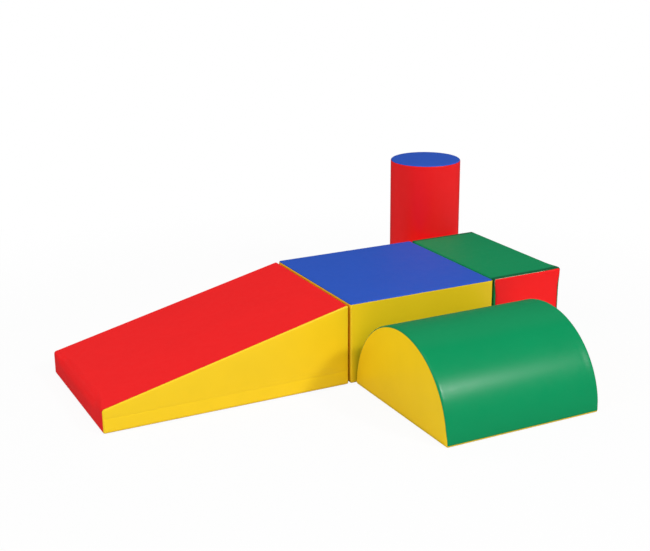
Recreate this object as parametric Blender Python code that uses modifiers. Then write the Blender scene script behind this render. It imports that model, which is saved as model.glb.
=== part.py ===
"""Soft play foam climber: a ramp, two blocks, a half-round and a cylinder, each a foam core in a zipped vinyl cover.

Metres, +Z up. The ramp, the large block and the small block stand in a row along X, the half-round lies in front
of the row (-Y) and the cylinder stands behind it. The origin is the middle of the whole set, on the floor.
"""

import math

import bmesh
import bpy
from mathutils import Matrix, Vector

MM = 0.001

# The row of three modules
ROW_WIDTH = 600 * MM
RAMP_LENGTH = 900 * MM
RAMP_LOW_HEIGHT = 85 * MM
RAMP_HIGH_HEIGHT = 300 * MM
RAMP_TOE_RADIUS = 12 * MM
LARGE_BLOCK_LENGTH = 600 * MM
LARGE_BLOCK_HEIGHT = 300 * MM
SMALL_BLOCK_LENGTH = 300 * MM
SMALL_BLOCK_HEIGHT = 300 * MM

# The two loose modules
HALF_ROUND_LENGTH = 600 * MM
HALF_ROUND_RADIUS = 300 * MM
HALF_ROUND_SETBACK = 18 * MM  # from the large block's left end to the half-round's
CYLINDER_RADIUS = 150 * MM
CYLINDER_HEIGHT = 600 * MM
CYLINDER_SETBACK = 142 * MM  # from the small block's right end back to the cylinder's axis
LOOSE_GAP = 6 * MM  # between the row and each loose module

# Covers and cores
COVER_THICKNESS = 1 * MM
CLEARANCE = 0.3 * MM
EDGE_RADIUS = 8 * MM
SEAM_SHARE = 0.35  # of the edge radius: how far round a rounded edge its seam lies
OVERRUN = 20 * MM  # by which a cutter reaches past what it cuts

# Hook-and-loop strips where the row's modules meet
STRIP_LENGTH = 220 * MM
STRIP_WIDTH = 50 * MM
STRIP_THICKNESS = 3 * MM
STRIP_CORNER_RADIUS = 6 * MM

# Zip in each base, slider first
SLIDER_FLOOR_GAP = 0.6 * MM
SLIDER_LENGTH = 14 * MM
SLIDER_NOSE_FLARE = 0.6 * MM  # by which each side of the nose stands out past the tail
SLIDER_CORNER_RADIUS = 2.5 * MM
SLIDER_PLATE = 1.2 * MM
SLIDER_WEB = 0.4 * MM
SLIDER_WEB_LENGTH = 4 * MM
FLANGE_THICKNESS = 1.1 * MM
FLANGE_SETBACK = 0.15 * MM  # from the plate's edge
BRIDGE_THICKNESS = 0.9 * MM
BRIDGE_OPENING = 1.4 * MM
BRIDGE_LENGTH = 8 * MM
BRIDGE_LEG = 1.5 * MM
BRIDGE_WIDTH = 2.4 * MM
TAPE_THICKNESS = 0.6 * MM
COIL_SETBACK = 0.15 * MM  # from the tape's inner edge
COIL_WIDTH = 2.5 * MM
COIL_HEIGHT = 2 * MM
COIL_RIB_DEPTH = 0.8 * MM
COIL_PITCH = 9 * MM
STOP_LENGTH = 3 * MM
SINK = 0.2 * MM  # by which pieces that are joined run into each other
SLOT_MARGIN = 0.7 * MM  # beside the slider
TUNNEL_MARGIN = 2 * MM  # beside the slot, above the tapes
TUNNEL_HEADROOM = 0.8 * MM  # above the slider
HEM_WIDTH = 8 * MM
ZIP_END_MARGIN = 75 * MM  # from an end of a long base to its zip
CYLINDER_ZIP_END_MARGIN = 40 * MM

# Facets
EDGE_STEPS = 3
TOE_STEPS = 8
HALF_ROUND_STEPS = 32
CYLINDER_STEPS = 40
CORNER_STEPS = 3
SHARP = math.radians(30)  # edges that turn further than this are rounded

# Places along the row, from its low end
ROW_GAP = 2 * STRIP_THICKNESS + 3 * CLEARANCE
LARGE_BLOCK_START = RAMP_LENGTH + ROW_GAP
SMALL_BLOCK_START = LARGE_BLOCK_START + LARGE_BLOCK_LENGTH + ROW_GAP
SMALL_BLOCK_END = SMALL_BLOCK_START + SMALL_BLOCK_LENGTH
HALF_ROUND_START = LARGE_BLOCK_START + HALF_ROUND_SETBACK
CYLINDER_MIDDLE = SMALL_BLOCK_END - CYLINDER_SETBACK
SET_LENGTH = max(SMALL_BLOCK_END, HALF_ROUND_START + HALF_ROUND_LENGTH, CYLINDER_MIDDLE + CYLINDER_RADIUS)

# Places in the set, whose middle is at x = 0 and y = 0
ROW_LEFT = -SET_LENGTH / 2
ROW_Y = HALF_ROUND_RADIUS - CYLINDER_RADIUS
LOOSE_Y = ROW_WIDTH / 2 + LOOSE_GAP

# Covers and cores, worked out
SEAM = SEAM_SHARE * EDGE_RADIUS
CORE_INSET = COVER_THICKNESS + CLEARANCE

# Levels of the zip above the floor
PLATE_BOTTOM = SLIDER_FLOOR_GAP + BRIDGE_THICKNESS + BRIDGE_OPENING
PLATE_TOP = PLATE_BOTTOM + SLIDER_PLATE
HEM_TOP = PLATE_TOP
TAPE_BOTTOM = HEM_TOP + CLEARANCE
TAPE_TOP = TAPE_BOTTOM + TAPE_THICKNESS
COIL_TOP = TAPE_TOP + COIL_HEIGHT
INNER_PLATE_BOTTOM = COIL_TOP + CLEARANCE
INNER_PLATE_TOP = INNER_PLATE_BOTTOM + SLIDER_PLATE
STOP_TOP = INNER_PLATE_BOTTOM + SLIDER_PLATE / 2
TUNNEL_TOP = INNER_PLATE_TOP + TUNNEL_HEADROOM

# Distances of the zip from its middle line
TAPE_EDGE = SLIDER_WEB / 2 + CLEARANCE
COIL_INNER = TAPE_EDGE + COIL_SETBACK
COIL_OUTER = COIL_INNER + COIL_WIDTH
FLANGE_INNER = COIL_OUTER + CLEARANCE
FLANGE_OUTER = FLANGE_INNER + FLANGE_THICKNESS
TAIL_EDGE = FLANGE_OUTER + FLANGE_SETBACK
NOSE_EDGE = TAIL_EDGE + SLIDER_NOSE_FLARE
SLOT_EDGE = NOSE_EDGE + SLOT_MARGIN
HEM_EDGE = SLOT_EDGE + HEM_WIDTH
TUNNEL_EDGE = SLOT_EDGE + TUNNEL_MARGIN


def clear_scene():
    for old in list(bpy.data.objects):
        bpy.data.objects.remove(old, do_unlink=True)


def collection(name):
    made = bpy.data.collections.new(name)
    bpy.context.scene.collection.children.link(made)
    return made


def linear(hex_colour):
    """The linear RGBA of an sRGB hex colour."""
    shares = [int(hex_colour[i : i + 2], 16) / 255 for i in (0, 2, 4)]
    return [s / 12.92 if s <= 0.04045 else ((s + 0.055) / 1.055) ** 2.4 for s in shares] + [1]


def material(name, hex_colour, roughness):
    made = bpy.data.materials.new(name)
    made.use_nodes = True
    shader = made.node_tree.nodes["Principled BSDF"]
    shader.inputs["Base Color"].default_value = linear(hex_colour)
    shader.inputs["Roughness"].default_value = roughness
    shader.inputs["Metallic"].default_value = 0
    return made


# Outlines, each a list of points that runs counterclockwise


def rectangle(low, high):
    return [Vector(low), Vector((high[0], low[1])), Vector(high), Vector((low[0], high[1]))]


def drawn_in(corners, inset):
    """A convex outline with each of its sides moved inwards."""
    moved = []
    for i, corner in enumerate(corners):
        arriving = (corner - corners[i - 1]).normalized()
        leaving = (corners[(i + 1) % len(corners)] - corner).normalized()
        moved.append(corner + (leaving - arriving) * inset / arriving.cross(leaving))
    return moved


def fillet(before, corner, after, radius, steps):
    """The arc that rounds one corner of a convex outline."""
    to_before = (before - corner).normalized()
    to_after = (after - corner).normalized()
    half_angle = to_before.angle(to_after) / 2
    centre = corner + (to_before + to_after).normalized() * radius / math.sin(half_angle)
    spoke = corner + to_before * radius / math.tan(half_angle) - centre
    turn = math.pi - 2 * half_angle
    return [centre + Matrix.Rotation(turn * i / steps, 2) @ spoke for i in range(steps + 1)]


def rounded(corners, radius, steps):
    """A convex outline with each of its corners rounded."""
    points = []
    for i, corner in enumerate(corners):
        points += fillet(corners[i - 1], corner, corners[(i + 1) % len(corners)], radius, steps)
    return points


def ramp_outline(inset):
    """The ramp's side, in x and z, with the bend over its low end."""
    half = RAMP_LENGTH / 2
    side = [(-half, 0), (half, 0), (half, RAMP_HIGH_HEIGHT), (-half, RAMP_LOW_HEIGHT)]
    low_foot, high_foot, head, toe = drawn_in([Vector(point) for point in side], inset)
    bend = fillet(head, toe, low_foot, RAMP_TOE_RADIUS - inset, TOE_STEPS)
    return [low_foot, high_foot, head, *bend]


def block_outline(width, height, inset):
    return drawn_in(rectangle((-width / 2, 0), (width / 2, height)), inset)


def half_round_outline(inset):
    """The half-round's end, in y and z. Its points stay on the same spokes at every inset."""
    radius = HALF_ROUND_RADIUS - inset
    foot = math.sqrt(radius**2 - inset**2)
    spokes = [math.pi * i / HALF_ROUND_STEPS for i in range(1, HALF_ROUND_STEPS)]
    arc = [Vector((radius * math.cos(a), radius * math.sin(a))) for a in spokes]
    return [Vector((foot, inset)), *arc, Vector((-foot, inset))]


# Meshes


def box_mesh(name, low, high):
    low, high = Vector(low), Vector(high)
    bm = bmesh.new()
    place = Matrix.Translation((low + high) / 2) @ Matrix.Diagonal((*(high - low), 1))
    bmesh.ops.create_cube(bm, size=1, matrix=place)
    return finished(bm, name)


def prism_mesh(name, outline, low, high, along):
    """An outline pushed from low to high along an axis. The outline lies in the two other axes, in XYZ order."""
    axis = "XYZ".index(along)
    bm = bmesh.new()
    corners = []
    for point in outline:
        place = list(point)
        place.insert(axis, low)
        corners.append(bm.verts.new(place))
    pushed = bmesh.ops.extrude_face_region(bm, geom=[bm.faces.new(corners)])["geom"]
    reach = [0, 0, 0]
    reach[axis] = high - low
    far_corners = [item for item in pushed if isinstance(item, bmesh.types.BMVert)]
    bmesh.ops.translate(bm, verts=far_corners, vec=reach)
    return finished(bm, name)


def cylinder_mesh(name, radius, low, high):
    bm = bmesh.new()
    bmesh.ops.create_cone(
        bm,
        cap_ends=True,
        segments=CYLINDER_STEPS,
        radius1=radius,
        radius2=radius,
        depth=high - low,
        matrix=Matrix.Translation((0, 0, (low + high) / 2)),
    )
    return finished(bm, name)


def finished(bm, name):
    bmesh.ops.recalc_face_normals(bm, faces=bm.faces)
    mesh = bpy.data.meshes.new(name)
    bm.to_mesh(mesh)
    bm.free()
    return mesh


# Objects


def add_carrier(name, x, y, turn=0):
    """The empty that a module's pieces are parented to, at the middle of its base."""
    carrier = bpy.data.objects.new(name, None)
    carrier.location = (x, y, 0)
    carrier.rotation_euler = (0, 0, turn)
    CLIMBER.objects.link(carrier)
    return carrier


def add_part(name, mesh, carrier, finish):
    part = bpy.data.objects.new(name, mesh)
    part.parent = carrier
    if not mesh.materials:
        mesh.materials.append(None)
    part.material_slots[0].link = "OBJECT"
    part.material_slots[0].material = finish
    CLIMBER.objects.link(part)
    return part


def add_cutter(name, mesh, carrier):
    cutter = bpy.data.objects.new(name, mesh)
    cutter.parent = carrier
    cutter.hide_render = True
    cutter.display_type = "WIRE"
    CUTTERS.objects.link(cutter)
    return cutter


def round_edges(piece, radius):
    bevel = piece.modifiers.new("rounded_edges", "BEVEL")
    bevel.limit_method = "ANGLE"
    bevel.angle_limit = SHARP
    bevel.width = radius
    bevel.segments = EDGE_STEPS
    bevel.use_clamp_overlap = False


def boolean(piece, operation, other):
    step = piece.modifiers.new(other.name, "BOOLEAN")
    step.operation = operation
    step.object = other
    step.solver = "EXACT"


class Module:
    """A module's carrier, and the solids that its core and its cover's panels are cut from."""

    def __init__(self, name, place, length, depth, height, body):
        self.name = name
        self.carrier = add_carrier(name, *place)
        self.half_length = length / 2
        self.half_depth = depth / 2
        self.height = height
        self.body = body
        self.outside = body(name + "_outside", 0)
        inside_mesh = body(name + "_inside", COVER_THICKNESS)
        self.inside = add_cutter(name + "_inside", inside_mesh, self.carrier)
        round_edges(self.inside, EDGE_RADIUS - COVER_THICKNESS)

    def box(self, name, low=(None, None, None), high=(None, None, None)):
        """A box cutter in the module's own axes. A side given as None lies past the module."""
        past_low = (-self.half_length - OVERRUN, -self.half_depth - OVERRUN, -OVERRUN)
        past_high = (self.half_length + OVERRUN, self.half_depth + OVERRUN, self.height + OVERRUN)
        low = [past if side is None else side for side, past in zip(low, past_low)]
        high = [past if side is None else side for side, past in zip(high, past_high)]
        label = f"{self.name}_{name}"
        return add_cutter(label, box_mesh(label, low, high), self.carrier)

    def panel(self, name, finish, *steps):
        """A panel of the cover: the hollow skin, cut down step by step."""
        panel = add_part(f"{self.name}_{name}", self.outside, self.carrier, finish)
        round_edges(panel, EDGE_RADIUS)
        boolean(panel, "DIFFERENCE", self.inside)
        for operation, cutter in steps:
            boolean(panel, operation, cutter)
        return panel


def add_core(module, zip_length):
    """The foam, hollowed under the zip: wide where the hems lie, narrow where the slider runs."""
    core_mesh = module.body(module.name + "_foam_core", CORE_INSET)
    core = add_part(module.name + "_foam_core", core_mesh, module.carrier, FOAM)
    round_edges(core, EDGE_RADIUS - CORE_INSET)
    shelf, shelf_top = HEM_EDGE + CLEARANCE, TAPE_TOP + CLEARANCE
    groove = [
        (-shelf, -OVERRUN),
        (shelf, -OVERRUN),
        (shelf, shelf_top),
        (TUNNEL_EDGE, shelf_top),
        (TUNNEL_EDGE, TUNNEL_TOP),
        (-TUNNEL_EDGE, TUNNEL_TOP),
        (-TUNNEL_EDGE, shelf_top),
        (-shelf, shelf_top),
    ]
    reach = zip_length / 2 + HEM_WIDTH + CLEARANCE
    label = module.name + "_zip_groove"
    groove_mesh = prism_mesh(label, groove, -reach, reach, "X")
    boolean(core, "DIFFERENCE", add_cutter(label, groove_mesh, module.carrier))


def add_base_panels(module, finish, zip_length, sides):
    """The base in two halves that meet at the zip, each turned in to a thick hem along the slot."""
    reach = zip_length / 2
    hem = module.box(
        "hem",
        (-reach - HEM_WIDTH, -HEM_EDGE, COVER_THICKNESS / 2),
        (reach + HEM_WIDTH, HEM_EDGE, HEM_TOP),
    )
    slot = module.box("slot", (-reach, -SLOT_EDGE, None), (reach, SLOT_EDGE, HEM_TOP + OVERRUN))
    near = module.box("near_base_region", high=(None, -CLEARANCE / 2, None))
    far = module.box("far_base_region", low=(None, CLEARANCE / 2, None))
    below = module.box("below_base_seam", high=(None, None, SEAM))
    for side, half in zip(sides, (near, far)):
        steps = [("INTERSECT", below), ("UNION", hem), ("INTERSECT", half), ("DIFFERENCE", slot)]
        module.panel(f"{side}_base_panel", finish, *steps)


def add_wrapped_cover(module, axis, wrap, wrap_finish, ends, ends_finish):
    """A main panel over the top and two sides, between an end panel at each end of an axis."""

    def along_axis(place):
        return [place if i == axis else None for i in range(3)]

    seam = (module.half_length, module.half_depth)[axis] - SEAM
    above = module.box("above_base_seam", low=(None, None, SEAM + CLEARANCE))
    between = module.box("wrap_region", along_axis(CLEARANCE - seam), along_axis(seam - CLEARANCE))
    near = module.box("near_end_region", high=along_axis(-seam))
    far = module.box("far_end_region", low=along_axis(seam))
    module.panel(wrap, wrap_finish, ("INTERSECT", above), ("INTERSECT", between))
    module.panel(ends[0], ends_finish, ("INTERSECT", above), ("INTERSECT", near))
    module.panel(ends[1], ends_finish, ("INTERSECT", above), ("INTERSECT", far))


def add_banded_cover(module, top_finish, band, band_finish):
    """A flat top panel and one band round all the sides."""
    top_seam = module.height - SEAM
    top = module.box("top_region", low=(None, None, top_seam))
    around = module.box("band_region", (None, None, SEAM + CLEARANCE), (None, None, top_seam - CLEARANCE))
    module.panel("top_panel", top_finish, ("INTERSECT", top))
    module.panel(band, band_finish, ("INTERSECT", around))


# The zip


def coil_outline(zip_length):
    """A coil from the side, in x and z: pointed ribs between two square stops."""
    half = zip_length / 2
    inner_half = half - STOP_LENGTH
    ribs = max(1, round(2 * inner_half / COIL_PITCH))
    pitch = 2 * inner_half / ribs
    foot, valley = TAPE_TOP - SINK, COIL_TOP - COIL_RIB_DEPTH
    points = [(-half, foot), (half, foot), (half, STOP_TOP), (inner_half, STOP_TOP), (inner_half, valley)]
    for i in range(ribs):
        left = inner_half - pitch * (i + 1)
        points += [(left + pitch / 2, COIL_TOP), (left, valley)]
    return points + [(-inner_half, STOP_TOP), (-half, STOP_TOP)]


def add_stringers(module, zip_length, sides):
    """The two halves of a zip, each a tape with its ribbed coil along the inner edge."""
    tape_reach = zip_length / 2 + HEM_WIDTH
    for side, sign in zip(sides, (-1, 1)):
        name = f"{module.name}_{side}_zip_stringer"
        inner, outer = sorted((sign * TAPE_EDGE, sign * HEM_EDGE))
        tape = box_mesh(name, (-tape_reach, inner, TAPE_BOTTOM), (tape_reach, outer, TAPE_TOP))
        stringer = add_part(name, tape, module.carrier, TAPE)
        coil_low, coil_high = sorted((sign * COIL_INNER, sign * COIL_OUTER))
        label = f"{module.name}_{side}_coil"
        coil = prism_mesh(label, coil_outline(zip_length), coil_low, coil_high, "Y")
        boolean(stringer, "UNION", add_cutter(label, coil, module.carrier))


def slider_solids():
    """The pieces of a slider about its own middle, at its height above the floor, with the nose at -X."""
    half = SLIDER_LENGTH / 2
    corners = [(-half, -NOSE_EDGE), (half, -TAIL_EDGE), (half, TAIL_EDGE), (-half, NOSE_EDGE)]
    shield = rounded([Vector(corner) for corner in corners], SLIDER_CORNER_RADIUS, CORNER_STEPS)
    flange_half = half - SLIDER_CORNER_RADIUS
    flange_bottom, flange_top = TAPE_TOP + CLEARANCE, INNER_PLATE_BOTTOM + SINK
    web_low = -half + SLIDER_CORNER_RADIUS
    bridge_half, bridge_inner = BRIDGE_LENGTH / 2, BRIDGE_LENGTH / 2 - BRIDGE_LEG
    bridge_top = SLIDER_FLOOR_GAP + BRIDGE_THICKNESS
    bridge = [
        (-bridge_half, SLIDER_FLOOR_GAP),
        (bridge_half, SLIDER_FLOOR_GAP),
        (bridge_half, PLATE_BOTTOM + SINK),
        (bridge_inner, PLATE_BOTTOM + SINK),
        (bridge_inner, bridge_top),
        (-bridge_inner, bridge_top),
        (-bridge_inner, PLATE_BOTTOM + SINK),
        (-bridge_half, PLATE_BOTTOM + SINK),
    ]
    return [
        prism_mesh("outer_plate", shield, PLATE_BOTTOM, PLATE_TOP, "Z"),
        prism_mesh("bridge", bridge, -BRIDGE_WIDTH / 2, BRIDGE_WIDTH / 2, "Y"),
        box_mesh(
            "web",
            (web_low, -SLIDER_WEB / 2, PLATE_TOP - SINK),
            (web_low + SLIDER_WEB_LENGTH, SLIDER_WEB / 2, INNER_PLATE_BOTTOM + SINK),
        ),
        prism_mesh("inner_plate", shield, INNER_PLATE_BOTTOM, INNER_PLATE_TOP, "Z"),
        box_mesh(
            "near_flange",
            (-flange_half, -FLANGE_OUTER, flange_bottom),
            (flange_half, -FLANGE_INNER, flange_top),
        ),
        box_mesh(
            "far_flange",
            (-flange_half, FLANGE_INNER, flange_bottom),
            (flange_half, FLANGE_OUTER, flange_top),
        ),
    ]


def slider_mesh():
    """One mesh for all sliders: two plates round the coils, joined by a web that runs between the tapes."""
    first, *others = [add_cutter("slider_" + m.name, m, None) for m in slider_solids()]
    for other in others:
        boolean(first, "UNION", other)
    graph = bpy.context.evaluated_depsgraph_get()
    mesh = bpy.data.meshes.new_from_object(first.evaluated_get(graph), depsgraph=graph)
    mesh.name = "zip_slider"
    for piece in [first, *others]:
        bpy.data.objects.remove(piece, do_unlink=True)
    return mesh


def add_slider(module, zip_length):
    """The slider, closed, against the stop at the zip's low end."""
    slider = add_part(module.name + "_zip_slider", SLIDER_MESH, module.carrier, SLIDER)
    slider.location.x = -zip_length / 2 + STOP_LENGTH + CLEARANCE + SLIDER_LENGTH / 2


def add_core_and_base(module, base_finish, zip_length, sides):
    add_core(module, zip_length)
    add_base_panels(module, base_finish, zip_length, sides)
    add_stringers(module, zip_length, sides)
    add_slider(module, zip_length)


# Hook-and-loop


def add_strips(module, kind, face_x, meeting_heights):
    """Two strips on the face that a module turns to its neighbour, at half the height of the lower of the two."""
    inverse = module.carrier.matrix_basis.inverted()
    level = min(meeting_heights) / 2
    away = 1 if face_x > module.carrier.location.x else -1
    low, high = sorted((face_x + away * CLEARANCE, face_x + away * (CLEARANCE + STRIP_THICKNESS)))
    end = "right" if away > 0 else "left"
    for side, quarter in (("front", -ROW_WIDTH / 4), ("rear", ROW_WIDTH / 4)):
        name = f"{module.name}_{end}_{side}_{kind}_strip"
        corners = rectangle(
            (ROW_Y + quarter - STRIP_LENGTH / 2, level - STRIP_WIDTH / 2),
            (ROW_Y + quarter + STRIP_LENGTH / 2, level + STRIP_WIDTH / 2),
        )
        outline = rounded(corners, STRIP_CORNER_RADIUS, CORNER_STEPS)
        mesh = prism_mesh(name, outline, low, high, "X")
        mesh.transform(inverse)
        add_part(name, mesh, module.carrier, HOOK if kind == "hook" else LOOP)


# The modules


def build_ramp():
    def body(name, inset):
        reach = ROW_WIDTH / 2 - inset
        return prism_mesh(name, ramp_outline(inset), -reach, reach, "Y")

    place = (ROW_LEFT + RAMP_LENGTH / 2, ROW_Y)
    ramp = Module("ramp", place, RAMP_LENGTH, ROW_WIDTH, RAMP_HIGH_HEIGHT, body)
    add_wrapped_cover(ramp, 1, "slope_panel", RED, ("front_side_panel", "rear_side_panel"), YELLOW)
    add_core_and_base(ramp, RED, RAMP_LENGTH - 2 * ZIP_END_MARGIN, ("front", "rear"))
    add_strips(ramp, "hook", ROW_LEFT + RAMP_LENGTH, (RAMP_HIGH_HEIGHT, LARGE_BLOCK_HEIGHT))


def build_large_block():
    def body(name, inset):
        reach = ROW_WIDTH / 2 - inset
        outline = block_outline(LARGE_BLOCK_LENGTH, LARGE_BLOCK_HEIGHT, inset)
        return prism_mesh(name, outline, -reach, reach, "Y")

    left = ROW_LEFT + LARGE_BLOCK_START
    place = (left + LARGE_BLOCK_LENGTH / 2, ROW_Y)
    block = Module("large_block", place, LARGE_BLOCK_LENGTH, ROW_WIDTH, LARGE_BLOCK_HEIGHT, body)
    add_banded_cover(block, BLUE, "side_band", YELLOW)
    add_core_and_base(block, YELLOW, LARGE_BLOCK_LENGTH - 2 * ZIP_END_MARGIN, ("front", "rear"))
    add_strips(block, "loop", left, (RAMP_HIGH_HEIGHT, LARGE_BLOCK_HEIGHT))
    add_strips(block, "hook", left + LARGE_BLOCK_LENGTH, (LARGE_BLOCK_HEIGHT, SMALL_BLOCK_HEIGHT))


def build_small_block():
    """It is turned a quarter, so that its own X axis runs across the row, from the front to the rear."""

    def body(name, inset):
        reach = ROW_WIDTH / 2 - inset
        outline = block_outline(SMALL_BLOCK_LENGTH, SMALL_BLOCK_HEIGHT, inset)
        return prism_mesh(name, outline, -reach, reach, "X")

    left = ROW_LEFT + SMALL_BLOCK_START
    place = (left + SMALL_BLOCK_LENGTH / 2, ROW_Y, math.pi / 2)
    block = Module("small_block", place, ROW_WIDTH, SMALL_BLOCK_LENGTH, SMALL_BLOCK_HEIGHT, body)
    add_wrapped_cover(block, 0, "wrap_panel", GREEN, ("front_end_panel", "rear_end_panel"), RED)
    add_core_and_base(block, GREEN, ROW_WIDTH - 2 * ZIP_END_MARGIN, ("right", "left"))
    add_strips(block, "loop", left, (LARGE_BLOCK_HEIGHT, SMALL_BLOCK_HEIGHT))


def build_half_round():
    def body(name, inset):
        reach = HALF_ROUND_LENGTH / 2 - inset
        return prism_mesh(name, half_round_outline(inset), -reach, reach, "X")

    x = ROW_LEFT + HALF_ROUND_START + HALF_ROUND_LENGTH / 2
    place = (x, ROW_Y - LOOSE_Y - HALF_ROUND_RADIUS)
    width = 2 * HALF_ROUND_RADIUS
    half_round = Module("half_round", place, HALF_ROUND_LENGTH, width, HALF_ROUND_RADIUS, body)
    add_wrapped_cover(half_round, 0, "curved_panel", GREEN, ("left_end_panel", "right_end_panel"), YELLOW)
    add_core_and_base(half_round, YELLOW, HALF_ROUND_LENGTH - 2 * ZIP_END_MARGIN, ("front", "rear"))


def build_cylinder():
    def body(name, inset):
        return cylinder_mesh(name, CYLINDER_RADIUS - inset, inset, CYLINDER_HEIGHT - inset)

    place = (ROW_LEFT + CYLINDER_MIDDLE, ROW_Y + LOOSE_Y + CYLINDER_RADIUS)
    width = 2 * CYLINDER_RADIUS
    cylinder = Module("cylinder", place, width, width, CYLINDER_HEIGHT, body)
    add_banded_cover(cylinder, BLUE, "wrap_panel", RED)
    add_core_and_base(cylinder, RED, width - 2 * CYLINDER_ZIP_END_MARGIN, ("front", "rear"))


clear_scene()
CLIMBER = collection("soft_play_foam_climber")
CUTTERS = collection("cutters")
RED = material("red_vinyl", "e22222", 0.4)
YELLOW = material("yellow_vinyl", "f0c41c", 0.4)
BLUE = material("blue_vinyl", "3054bc", 0.4)
GREEN = material("green_vinyl", "15905a", 0.35)
FOAM = material("polyurethane_foam", "e9e2c8", 0.95)
TAPE = material("woven_zip_tape", "1c1c1e", 0.85)
SLIDER = material("zinc_zip_slider", "3a3a3d", 0.45)
HOOK = material("nylon_hook_strip", "18181a", 0.8)
LOOP = material("nylon_loop_strip", "222226", 0.95)
SLIDER_MESH = slider_mesh()

build_ramp()
build_large_block()
build_small_block()
build_half_round()
build_cylinder()
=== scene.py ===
"""Looks of the soft play foam climber: five foam blocks in sewn vinyl covers, dressed around the frame.

Metres, +Z up, in the frame's own axes. Every cover is cut into the panels that the real one is sewn from.
A panel is a grid of core points, each with the direction in which the vinyl lies EDGE away from it, and a
lift on top.
"""

import math

import bmesh
import bpy
import numpy as np
from mathutils import Matrix, Vector


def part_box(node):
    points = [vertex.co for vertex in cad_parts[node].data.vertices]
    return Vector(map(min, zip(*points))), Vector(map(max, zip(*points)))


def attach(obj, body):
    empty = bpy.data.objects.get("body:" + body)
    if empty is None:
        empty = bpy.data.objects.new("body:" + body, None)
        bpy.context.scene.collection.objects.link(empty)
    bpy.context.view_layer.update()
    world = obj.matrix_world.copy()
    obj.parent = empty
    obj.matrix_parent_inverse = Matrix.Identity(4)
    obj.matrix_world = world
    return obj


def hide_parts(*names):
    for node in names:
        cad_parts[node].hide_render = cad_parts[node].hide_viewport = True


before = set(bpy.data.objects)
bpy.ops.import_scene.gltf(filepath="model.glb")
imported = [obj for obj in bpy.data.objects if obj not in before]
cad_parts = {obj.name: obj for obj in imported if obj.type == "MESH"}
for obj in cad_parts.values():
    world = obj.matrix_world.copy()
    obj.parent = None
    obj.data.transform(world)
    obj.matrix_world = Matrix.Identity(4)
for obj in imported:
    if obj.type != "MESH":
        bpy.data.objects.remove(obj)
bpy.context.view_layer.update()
MM = 0.001

# Covers
EDGE = 8 * MM  # radius of every sewn edge
CORNER_LEAN = math.radians(40)  # at most, where a side's seam comes down to the base's
CORNER_REACH = 60 * MM
SHEET = 0.9 * MM
SEAM_ROLL = 1 * MM  # radius with which a panel turns into its seam
ROLL_SHARES = (0, 0.134, 0.5, 1)  # of a seam's roll, a quarter turn in three steps
BESIDE_ROLL = 2.4 * MM
BESIDE_ROLLS = 1.2  # of the seam's own roll, where that is more
BESIDE_SHARE = 0.7  # of the way to the flat, at most
BEYOND_SHARES = np.array([0, 0.3, 0.65, 1])  # of the way from there to the flat
STEP = 7.5 * MM  # between points on the flats
BASE_STEP = 12 * MM  # between those on a base, from its seam to its hem
COARSE_STEP = 30 * MM  # between those on foam and on strips
STEP_GROWTH = 1.16  # from ring to ring of a face, past the even ones beside its seam
EVEN_RINGS = 5
RINGS_SHARE = 0.9  # of the way to a face's spine, at which its rings stop
LAST_RING_SHARE = 0.96  # of the same way, at most
ROUNDING_SHARE = 1e-6  # of a step, by which a length may be over by rounding alone
TURN_STEP = math.radians(12)
MERGE = 0.02 * MM

# Where the seams lie round the edges, by module
RAMP_SIDE_SEAM = math.radians(25)
RAMP_BASE_SEAM = math.radians(58)
LARGE_BLOCK_SEAM = math.radians(30)
SMALL_BLOCK_SIDE_SEAM = math.radians(80)
SMALL_BLOCK_TOP_SEAM = math.radians(42)
SMALL_BLOCK_ROLL = 2.4 * MM
SMALL_BLOCK_SHADE_REACH = 24 * MM  # reach of the painted shade beside its top seams
HALF_ROUND_SIDE_SEAM = math.radians(65)
HALF_ROUND_BASE_SEAM = math.radians(6)
CYLINDER_SEAM = math.radians(30)

# Ramp
RAMP_LOW_HEIGHT = 85 * MM
TOE_RADIUS = 12 * MM
SOFT_TOE_RADIUS = 42 * MM  # between its sides, where only foam holds the fold over the low end
TOE_TIGHT_REACH = (10 * MM, 110 * MM)  # from a side's seam
FOLDS = ((52 * MM, 0.7 * MM), (66 * MM, 0.4 * MM))  # height and depth of the creases along the ramp's sides
FOLD_SPREAD = 2.8 * MM
UPPER_FOLD_START = (-0.5, -0.3)  # along the ramp, where it sets in
FOLD_SWELL = 5.5 * MM  # of the panel's foot, where it flares below the lower crease
FOLD_START = 1 * MM  # from the panel's seam
FOLD_ROWS = [row * MM for row in (14, 28, 40, 46, 49, 51, 53, 55, 58, 61, 63.5, 65, 67, 68.5, 71, 78)]
RAMP_SPINE_START = (60 * MM, 42 * MM)  # from the ramp's low end, and up
RAMP_SPINE_END = (-130 * MM, 140 * MM)  # from its high end, and up

# Vinyl drawn over foam
SIDE_CROWN = 1.4 * MM
TOP_CROWN = 1.8 * MM
STRIP_CROWN = 0.15 * MM  # on faces that carry hook-and-loop
PUCKER_HEIGHT = 0.2 * MM
PUCKER_REACH = 9 * MM
PUCKER_LENGTHS = (23 * MM, 34 * MM, 57 * MM)
PATCH_LENGTHS = (170 * MM, 310 * MM)  # of stretches with more or fewer puckers
PATCH_SHARE = 0.4  # of the puckers' height, by which it differs from stretch to stretch
PATCH_SEED = 100  # on top of the puckers' own
HALF_ROUND_SPINE_SHARES = (0.5, 0.4)  # of its radius: half the length of its ends' spines, their height
FLARE_REACH = 32 * MM  # from the half-round's right end, over which its cover widens a little
FLARE_HEIGHT = 1.3 * MM
CREASE_SPREAD = 4 * MM
CREASE_DEPTH = 0.4 * MM  # of the line that the vinyl shows where the flare begins
EAR = 4 * MM  # by which the small block's upper front corner stands out from the foam
EAR_REACH = 48 * MM

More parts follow.
